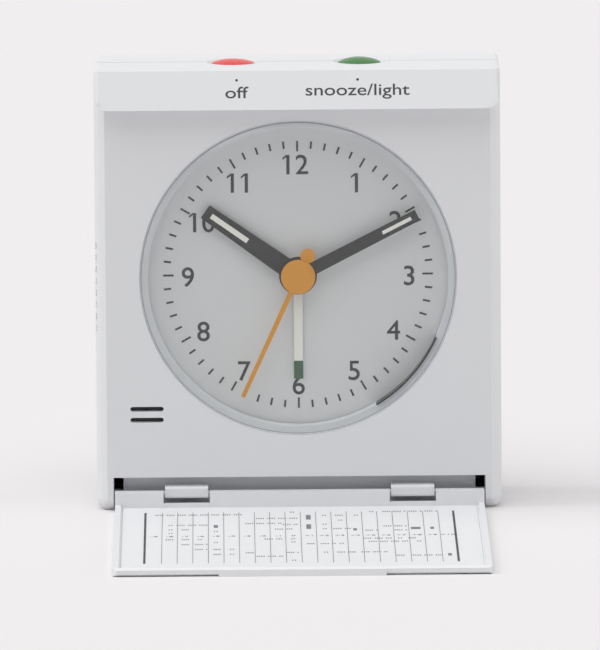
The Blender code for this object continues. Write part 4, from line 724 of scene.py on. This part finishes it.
class CLOCK_OT_lens(bpy.types.Operator):
    """Turn a smooth lens with its sloped rim"""
    bl_idname = "clock.lens"
    bl_label = "Lens"

    def execute(self, context):
        sizes = context.scene.clock_sizes
        radius = (LENS[1].x - LENS[0].x) / 2 - LENS_GAP
        rim_y = LENS[0].y + LENS_RIM_DEPTH
        centre = Vector((0, (rim_y + LENS[1].y) / 2, (LENS[0].z + LENS[1].z) / 2))
        glass = disc("lens_glass", radius, LENS[1].y - rim_y, centre, FACING, LENS_SIDES)
        edit(glass)
        pick_faces(glass, lambda middle, normal: normal.y < -ALIGNED)
        bpy.ops.mesh.inset(thickness=sizes.lens_bevel, depth=0)
        bpy.ops.transform.translate(value=(0, LENS[0].y - rim_y, 0))
        bpy.ops.mesh.select_mode(type="EDGE")
        bpy.ops.mesh.bevel(offset=LENS_EDGE_ROUND, segments=2, affect="EDGES")
        deselect()
        soften(glass, degrees=20)
        dress(glass, "clock", clear_plastic())
        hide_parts("lens")
        self.edge_line(radius + LENS_GAP / 2, rim_y + LENS_GAP)
        self.window_strip(sizes)
        paint("lamp", clear_plastic())
        return {"FINISHED"}

    def edge_line(self, radius, y):
        """A dark ring of painted shadow in the gap round the lens, standing for the shade in that narrow
        gap
        """
        deselect()
        bpy.ops.mesh.primitive_torus_add(major_radius=radius, minor_radius=LENS_GAP / 2,
                                         major_segments=LENS_SIDES, minor_segments=EDGE_LINE_SIDES,
                                         location=(0, y, DIAL_CENTRE.z), rotation=FACING)
        line = made("lens_edge_line")
        line.scale.z = EDGE_LINE_STRETCH
        dress(bake_place(line), "clock", finish("edge_glue"))
        soften(line)

    def window_strip(self, sizes):
        """A dark strip of painted shade low on the right of the well, standing for the dark inside seen
        through the lamp window
        """
        depth = DIAL_FACE_Y - LENS[1].y
        radius = sizes.window_radius + WINDOW_STRIP_WIDTH / 2
        place = clock_place(radius, math.degrees(sizes.window_from), (DIAL_FACE_Y + LENS[1].y) / 2)
        strip = bar("lamp_strip", (WINDOW_STRIP_START, depth, WINDOW_STRIP_WIDTH), place,
                    (0, sizes.window_from, 0))
        along = Matrix.Rotation(sizes.window_from, 3, "Y") @ Vector((1, 0, 0))
        edit(strip)
        pick_faces(strip, lambda middle, normal: normal.dot(along) > ALIGNED)
        bpy.ops.mesh.spin(steps=WINDOW_STEPS, angle=sizes.window_from - sizes.window_to,
                          center=DIAL_CENTRE, axis=(0, 1, 0))
        deselect()
        dress(bake_place(strip), "clock", finish("dark_window"))
        soften(strip)


class CLOCK_OT_dial(bpy.types.Operator):
    """Print the minute marks and the numerals on the dial"""
    bl_idname = "clock.dial"
    bl_label = "Dial"

    def execute(self, context):
        sizes = context.scene.clock_sizes
        paint("dial_plate", finish("dial_paint"))
        y = DIAL_FACE_Y - sizes.ink / 2
        self.print_marks(sizes, y)
        self.print_numerals(sizes, y)
        return {"FINISHED"}

    def print_marks(self, sizes, y):
        """Sixty marks, with a longer one at every hour"""
        models = {}
        for label, length in (("hour", sizes.hour_tick), ("minute", sizes.minute_tick)):
            place = clock_place(sizes.tick_reach - length / 2, 0, y)
            models[label] = bar(label + "_mark", (sizes.tick_width, sizes.ink, length), place)
        marks = []
        for degrees in range(0, 360, MINUTE_DEGREES):
            model = models["minute" if degrees % HOUR_DEGREES else "hour"]
            marks.append(twin(model, about_dial(degrees)))
        for model in models.values():
            bpy.data.objects.remove(model)
        dress(join("minute_marks", marks), "clock", finish("dark_ink"))

    def print_numerals(self, sizes, y):
        """The hours from one to twelve, each figure one with its stroke"""
        weight = sizes.numeral_height * NUMERAL_WEIGHT
        numbers, flags = [], []
        for hour, (across, up) in enumerate(NUMERAL_SHIFTS, start=1):
            place = clock_place(sizes.numeral_radius, hour * HOUR_DEGREES, y)
            place += Vector((across * MM, 0, up * MM))
            number = words("number", str(hour), sizes.numeral_height, sizes.ink, place, FACING,
                           weight=weight)
            numbers.append(number)
            low, high = Vector(number.bound_box[0]), Vector(number.bound_box[6])
            if hour == 1:
                figure_width = high.x - low.x
            if hour in (1, 10, 11, 12):
                flags.append(self.flag(low.x, high.z, y, sizes))
            if hour == 11:
                flags.append(self.flag(high.x - figure_width, high.z, y, sizes))
        dress(join("hour_numbers", numbers + flags), "clock", finish("dark_ink"))

    def flag(self, right, top, y, sizes):
        """The short slanted stroke at the top of a figure one"""
        length, width, fall = (sizes.numeral_height * share
                               for share in (FLAG_LENGTH, FLAG_WIDTH, FLAG_FALL))
        stroke = bar("flag", (length, sizes.ink, width), (right - length / 2, y, top - width / 2))
        edit(stroke)
        pick_faces(stroke, lambda middle, normal: normal.x < -ALIGNED)
        bpy.ops.transform.translate(value=(0, 0, -fall))
        deselect()
        return stroke


class CLOCK_OT_hands(bpy.types.Operator):
    """Paint the hands and lay in their pale strips"""
    bl_idname = "clock.hands"
    bl_label = "Hands"

    def execute(self, context):
        for node, finish_name in HAND_NODES.items():
            paint(node, finish(finish_name))
        for name, node, body, degrees, low, high, width, finish_name in INLAYS:
            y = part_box(node)[0][1] - INLAY_THICKNESS / 2
            place = clock_place((low + high) / 2 * MM, degrees, y)
            strip = bar(name, (width * MM, INLAY_THICKNESS, (high - low) * MM), place,
                        (0, math.radians(degrees), 0), INLAY_ROUND)
            dress(strip, body, finish(finish_name))
        return {"FINISHED"}


class CLOCK_OT_labels(bpy.types.Operator):
    """Print the two button labels on the sloped strip"""
    bl_idname = "clock.labels"
    bl_label = "Labels"

    def execute(self, context):
        sizes = context.scene.clock_sizes
        low = Vector((0, CASE[0].y, STRIP_LOW_Z))
        high = Vector((0, LENS[0].y + STRIP_SET_BACK, STRIP_HIGH_Z))
        slope = (high - low).normalized()
        outward = Vector((0, -slope.z, slope.y))
        turn = (math.atan2(slope.z, slope.y), 0, 0)

        def on_strip(x, height):
            """A place on the strip by its place across and its height in millimetres"""
            share = (height * MM - low.z) / (high.z - low.z)
            place = low.lerp(high, share) + outward * (sizes.ink / 2)
            place.x = x * MM
            return place

        pieces = [words("label", text, sizes.label_height, sizes.ink, on_strip(x, height), turn,
                        stretch=LABEL_STRETCH, weight=sizes.label_height * LABEL_WEIGHT)
                  for text, x, height in LABELS]
        pieces += [disc("dot", DOT_RADIUS, sizes.ink, on_strip(x, DOT_HEIGHT), turn, DOT_SIDES)
                   for x in DOTS]
        dress(join("button_labels", pieces), "clock", finish("dark_ink"))
        return {"FINISHED"}


class CLOCK_OT_cover(bpy.types.Operator):
    """Finish the cover and print the hour chart on its card"""
    bl_idname = "clock.cover"
    bl_label = "Cover"

    def execute(self, context):
        sizes = context.scene.clock_sizes
        paint("front_cover", finish("cover_plastic"))
        self.card(sizes)
        z = CARD[1].z + sizes.ink / 2
        pitch = 2 * sizes.chart_half / sizes.chart_columns
        self.chart_lines(sizes, pitch, z)
        self.chart_numbers(sizes, pitch, z)
        self.chart_entries(sizes.ink, z)
        return {"FINISHED"}

    def card(self, sizes):
        """The card with rounded corners that fills its bed"""
        low, high = CARD
        grow = sizes.card_grow
        sheet = bar("hour_card", high - low + Vector((2 * grow, 2 * grow, 0)), (low + high) / 2)
        edit(sheet, "EDGE")
        pick_edges(sheet, lambda a, b: abs(a.z - b.z) > CARD_UPRIGHT)
        bpy.ops.mesh.bevel(offset=CARD_ROUND, segments=4, affect="EDGES")
        deselect()
        dress(soften(sheet), "cover", finish("card_stock"))
        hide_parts("chart_card")

    def chart_lines(self, sizes, pitch, z):
        """The lines between the columns, the outer two bold"""
        near, far = CARD_ROOT_Y - CHART_NEAR, CARD_ROOT_Y - CHART_FAR
        lines = []
        for index in range(sizes.chart_columns + 1):
            width = OUTER_LINE if index in (0, sizes.chart_columns) else INNER_LINE
            x = -sizes.chart_half + index * pitch - (FIRST_LINE_SHIFT if index == 0 else 0)
            lines.append(bar("line", (width, near - far, sizes.ink), (x, (near + far) / 2, z)))
        dress(join("chart_lines", lines), "cover", finish("dark_ink"))

    def chart_numbers(self, sizes, pitch, z):
        """The row of hours that each column is ahead or behind"""
        row = CARD_ROOT_Y - sizes.offset_row
        numbers = []
        for index in range(sizes.chart_columns):
            offset = FIRST_OFFSET + index
            text = f"{offset:+d}" if offset else "0"
            x = -sizes.chart_half + (index + 0.5) * pitch
            numbers.append(words("offset", text, OFFSET_HEIGHT, sizes.ink, (x, row, z), (0, 0, 0)))
        dress(join("chart_numbers", numbers), "cover", finish("grey_ink"))

    def chart_entries(self, ink, z):
        """Rows of short strokes in place of words, and a few darker blocks"""
        model = bar("stroke", (STROKE_WIDTH, STROKE_LENGTH, ink), (0, 0, z))
        strokes = []
        for down, spans in CHART_ENTRIES:
            for start, end in spans:
                count = max(2, round((end - start) / STROKE_PITCH))
                for index in range(count):
                    if index % STROKE_GROUP == STROKE_GROUP - 1:
                        continue
                    move = Vector((start + (end - start) * (index + 0.5) / count, -down, 0)) * MM
                    strokes.append(twin(model, Matrix.Translation(move + Vector((0, CARD_ROOT_Y, 0)))))
        bpy.data.objects.remove(model)
        dress(join("chart_entries", strokes), "cover", finish("grey_ink"))
        blocks = [bar("block", (width * MM, length * MM, ink), (x * MM, CARD_ROOT_Y - down * MM, z))
                  for x, down, width, length in CHART_BLOCKS]
        dress(join("chart_blocks", blocks), "cover", finish("grey_ink"))


class CLOCK_OT_buttons(bpy.types.Operator):
    """Shape and colour the two push buttons"""
    bl_idname = "clock.buttons"
    bl_label = "Buttons"

    def execute(self, context):
        for node, body, slot in BUTTONS:
            button = self.domed_button(node + "_domed", node, context.scene.clock_sizes)
            dress(button, body, finish(slot + "_plastic"))
            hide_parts(node)
        return {"FINISHED"}

    def domed_button(self, name, node, sizes):
        """A cap with a domed top over its flange and its stem"""
        low, high = box(node)
        x, y, _ = (low + high) / 2
        rim = REAR[1].z - sizes.button_sink
        flange = rim - sizes.button_skirt
        cap = disc(name, sizes.button_radius, sizes.button_skirt, (x, y, rim - sizes.button_skirt / 2),
                   vertices=BUTTON_SIDES)
        edit(cap)
        pick_faces(cap, lambda middle, normal: normal.z > ALIGNED)
        radius, height = sizes.button_radius, 0.0
        for share in DOME_SHARES:
            next_radius = sizes.button_radius * share
            next_height = (high.z - rim) * (1 - share ** 2) ** DOME_POWER
            bpy.ops.mesh.inset(thickness=radius - next_radius, depth=0)
            bpy.ops.transform.translate(value=(0, 0, next_height - height))
            radius, height = next_radius, next_height
        deselect()
        collar = disc("collar", (high.x - low.x) / 2, COLLAR_HEIGHT, (x, y, flange + COLLAR_HEIGHT / 2))
        stem_top = flange + STEM_OVERLAP
        stem = disc("stem", STEM_RADIUS, stem_top - low.z, (x, y, (stem_top + low.z) / 2),
                    vertices=STEM_SIDES)
        return soften(join(name, [cap, collar, stem]))


class CLOCK_OT_works(bpy.types.Operator):
    """Finish the movement, the electrics, the cell, the springs and the screws"""
    bl_idname = "clock.works"
    bl_label = "Works"

    def execute(self, context):
        for finish_name, nodes in WORKS_NODES.items():
            for node in nodes:
                paint(node, finish(finish_name))
        self.case_screws()
        self.return_springs()
        return {"FINISHED"}

    def return_springs(self):
        """The springs under the buttons, copied, welded and finished in place of the CAD ones"""
        for joint in frame["record"]["behaviour"]["joints"]:
            for row in joint.get("deforming_nodes", ()):
                node, fixed_end = row["node"], row["fixed_end_z_m"]
                take(frame["nodes"][node])
                bpy.ops.object.duplicate()
                spring = made(node + "_live")
                edit(spring)
                bpy.ops.mesh.select_all(action="SELECT")
                bpy.ops.mesh.remove_doubles(threshold=WELD)
                deselect()
                dress(soften(spring), "clock", finish("plated_steel"))
                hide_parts(node)
                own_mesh(spring)

    def case_screws(self):
        """Cross-recessed screws in place of the four plain ones"""
        low, high = box("case_screw_1")
        x, _, z = (low + high) / 2
        cap = disc("screw", (high.x - low.x) / 2, SCREW_HEAD, (x, high.y - SCREW_HEAD / 2, z), FACING,
                   SCREW_HEAD_SIDES)
        edit(cap, "EDGE")
        pick_edges(cap, lambda a, b: min(a.y, b.y) > high.y - SCREW_RIM)
        bpy.ops.mesh.bevel(offset=SCREW_EDGE, segments=3, affect="EDGES")
        deselect()
        shaft_top = high.y - SCREW_HEAD / 2
        shaft = disc("shaft", SCREW_SHAFT_RADIUS, shaft_top - low.y, (x, (low.y + shaft_top) / 2, z),
                     FACING, SCREW_SHAFT_SIDES)
        for across, up in ((CROSS_LONG, CROSS_NARROW), (CROSS_NARROW, CROSS_LONG)):
            slot = bar("slot", (across, CROSS_DEPTH, up), (x, high.y, z))
            take(cap)
            carve = cap.modifiers.new("cross", "BOOLEAN")
            carve.operation = "DIFFERENCE"
            carve.object = slot
            bpy.ops.object.modifier_apply(modifier="cross")
            bpy.data.objects.remove(slot)
        first = soften(join("case_screw_crossed_1", [cap, shaft]))
        for index in range(1, SCREW_COUNT + 1):
            corner = box(f"case_screw_{index}")[0]
            screw = first if index == 1 else twin(first, Matrix.Translation(corner - low))
            screw.name = screw.data.name = f"case_screw_crossed_{index}"
            dress(screw, "clock", finish("plated_steel"))
            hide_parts(f"case_screw_{index}")


class CLOCK_OT_studio(bpy.types.Operator):
    """Set up the floor, the light and the camera"""
    bl_idname = "clock.studio"
    bl_label = "Studio"

    def execute(self, context):
        studio = context.scene.clock_studio
        deselect()
        bpy.ops.mesh.primitive_plane_add(size=FLOOR_SIZE, location=(0, 0, 0))
        floor = made("floor")
        floor.data.materials.append(finish("floor_paper"))
        self.surround(studio)
        self.lamps(studio)
        self.camera(studio)
        return {"FINISHED"}

    def surround(self, studio):
        """Light from all round, and the tone that the camera, gloss and clear plastic see there"""
        world = bpy.data.worlds.new("studio_world")
        bpy.context.scene.world = world
        world.use_nodes = True
        tree = world.node_tree
        back = tree.nodes["Background"]
        feed(tree, back, {"Color": WORLD_COLOUR, "Strength": studio.world})
        seen = tree.nodes.new("ShaderNodeBackground")
        feed(tree, seen, {"Color": SEEN_COLOUR, "Strength": 1.0})
        path = tree.nodes.new("ShaderNodeLightPath")
        shown = maths(tree, "MAXIMUM", path.outputs["Is Camera Ray"],
                      maths(tree, "MAXIMUM", path.outputs["Is Glossy Ray"],
                            path.outputs["Is Transmission Ray"]))
        mix_shaders(tree, shown, back, seen, "World Output")

    def lamps(self, studio):
        """Soft lamps, each shining from its direction towards the clock"""
        for name, softness, direction in LAMPS:
            bpy.ops.object.light_add(type="SUN", location=direction)
            lamp = made(name)
            lamp.data.energy = getattr(studio, name)
            lamp.data.angle = math.radians(softness)
            lamp.rotation_euler = Vector(direction).to_track_quat("Z", "Y").to_euler()

    def camera(self, studio):
        """The camera at the photograph's angle"""
        aim = Vector((studio.aim_x, CASE[0].y + AIM_DEPTH, studio.aim_z))
        away = Vector((math.sin(studio.azimuth) * math.cos(studio.elevation),
                       -math.cos(studio.azimuth) * math.cos(studio.elevation),
                       math.sin(studio.elevation)))
        bpy.ops.object.camera_add(location=aim + away * studio.distance)
        camera = made("photo_camera")
        turn = away.to_track_quat("Z", "Y").to_matrix() @ Matrix.Rotation(-studio.roll, 3, "Z")
        camera.rotation_euler = turn.to_euler()
        camera.data.lens = studio.focal_length
        camera.data.sensor_width = SENSOR_MILLIMETRES
        camera.data.sensor_fit = "AUTO"
        camera.data.clip_end = CLIP_END
        bpy.context.scene.camera = camera
        bpy.context.scene.view_settings.view_transform = "Standard"


SETTINGS = {"clock_sizes": ClockSizes, "clock_colours": ClockColours, "clock_studio": StudioSettings}
OPERATORS = (CLOCK_OT_case, CLOCK_OT_lens, CLOCK_OT_dial, CLOCK_OT_hands, CLOCK_OT_labels,
             CLOCK_OT_cover, CLOCK_OT_buttons, CLOCK_OT_works, CLOCK_OT_studio)


class CLOCK_PT_dresser(bpy.types.Panel):
    """Lists the steps that dress the clock"""
    bl_idname = "CLOCK_PT_dresser"
    bl_label = "Travel alarm clock"
    bl_space_type = "VIEW_3D"
    bl_region_type = "UI"
    bl_category = "Clock"

    def draw(self, context):
        layout = self.layout
        for operator in OPERATORS:
            layout.operator(operator.bl_idname)
        for group_name in SETTINGS:
            settings = getattr(context.scene, group_name)
            column = layout.column()
            for name in settings.__annotations__:
                column.prop(settings, name)


CLASSES = (*SETTINGS.values(), *OPERATORS, CLOCK_PT_dresser)


def register():
    for item in CLASSES:
        bpy.utils.register_class(item)
    for name, kind in SETTINGS.items():
        setattr(bpy.types.Scene, name, PointerProperty(type=kind))


def unregister():
    for name in SETTINGS:
        delattr(bpy.types.Scene, name)
    for item in reversed(CLASSES):
        bpy.utils.unregister_class(item)


def main():
    register()
    bpy.ops.clock.case()
    bpy.ops.clock.lens()
    bpy.ops.clock.dial()
    bpy.ops.clock.hands()
    bpy.ops.clock.labels()
    bpy.ops.clock.cover()
    bpy.ops.clock.buttons()
    bpy.ops.clock.works()
    bpy.ops.clock.studio()
    deselect()


if __name__ == "__main__":
    main()
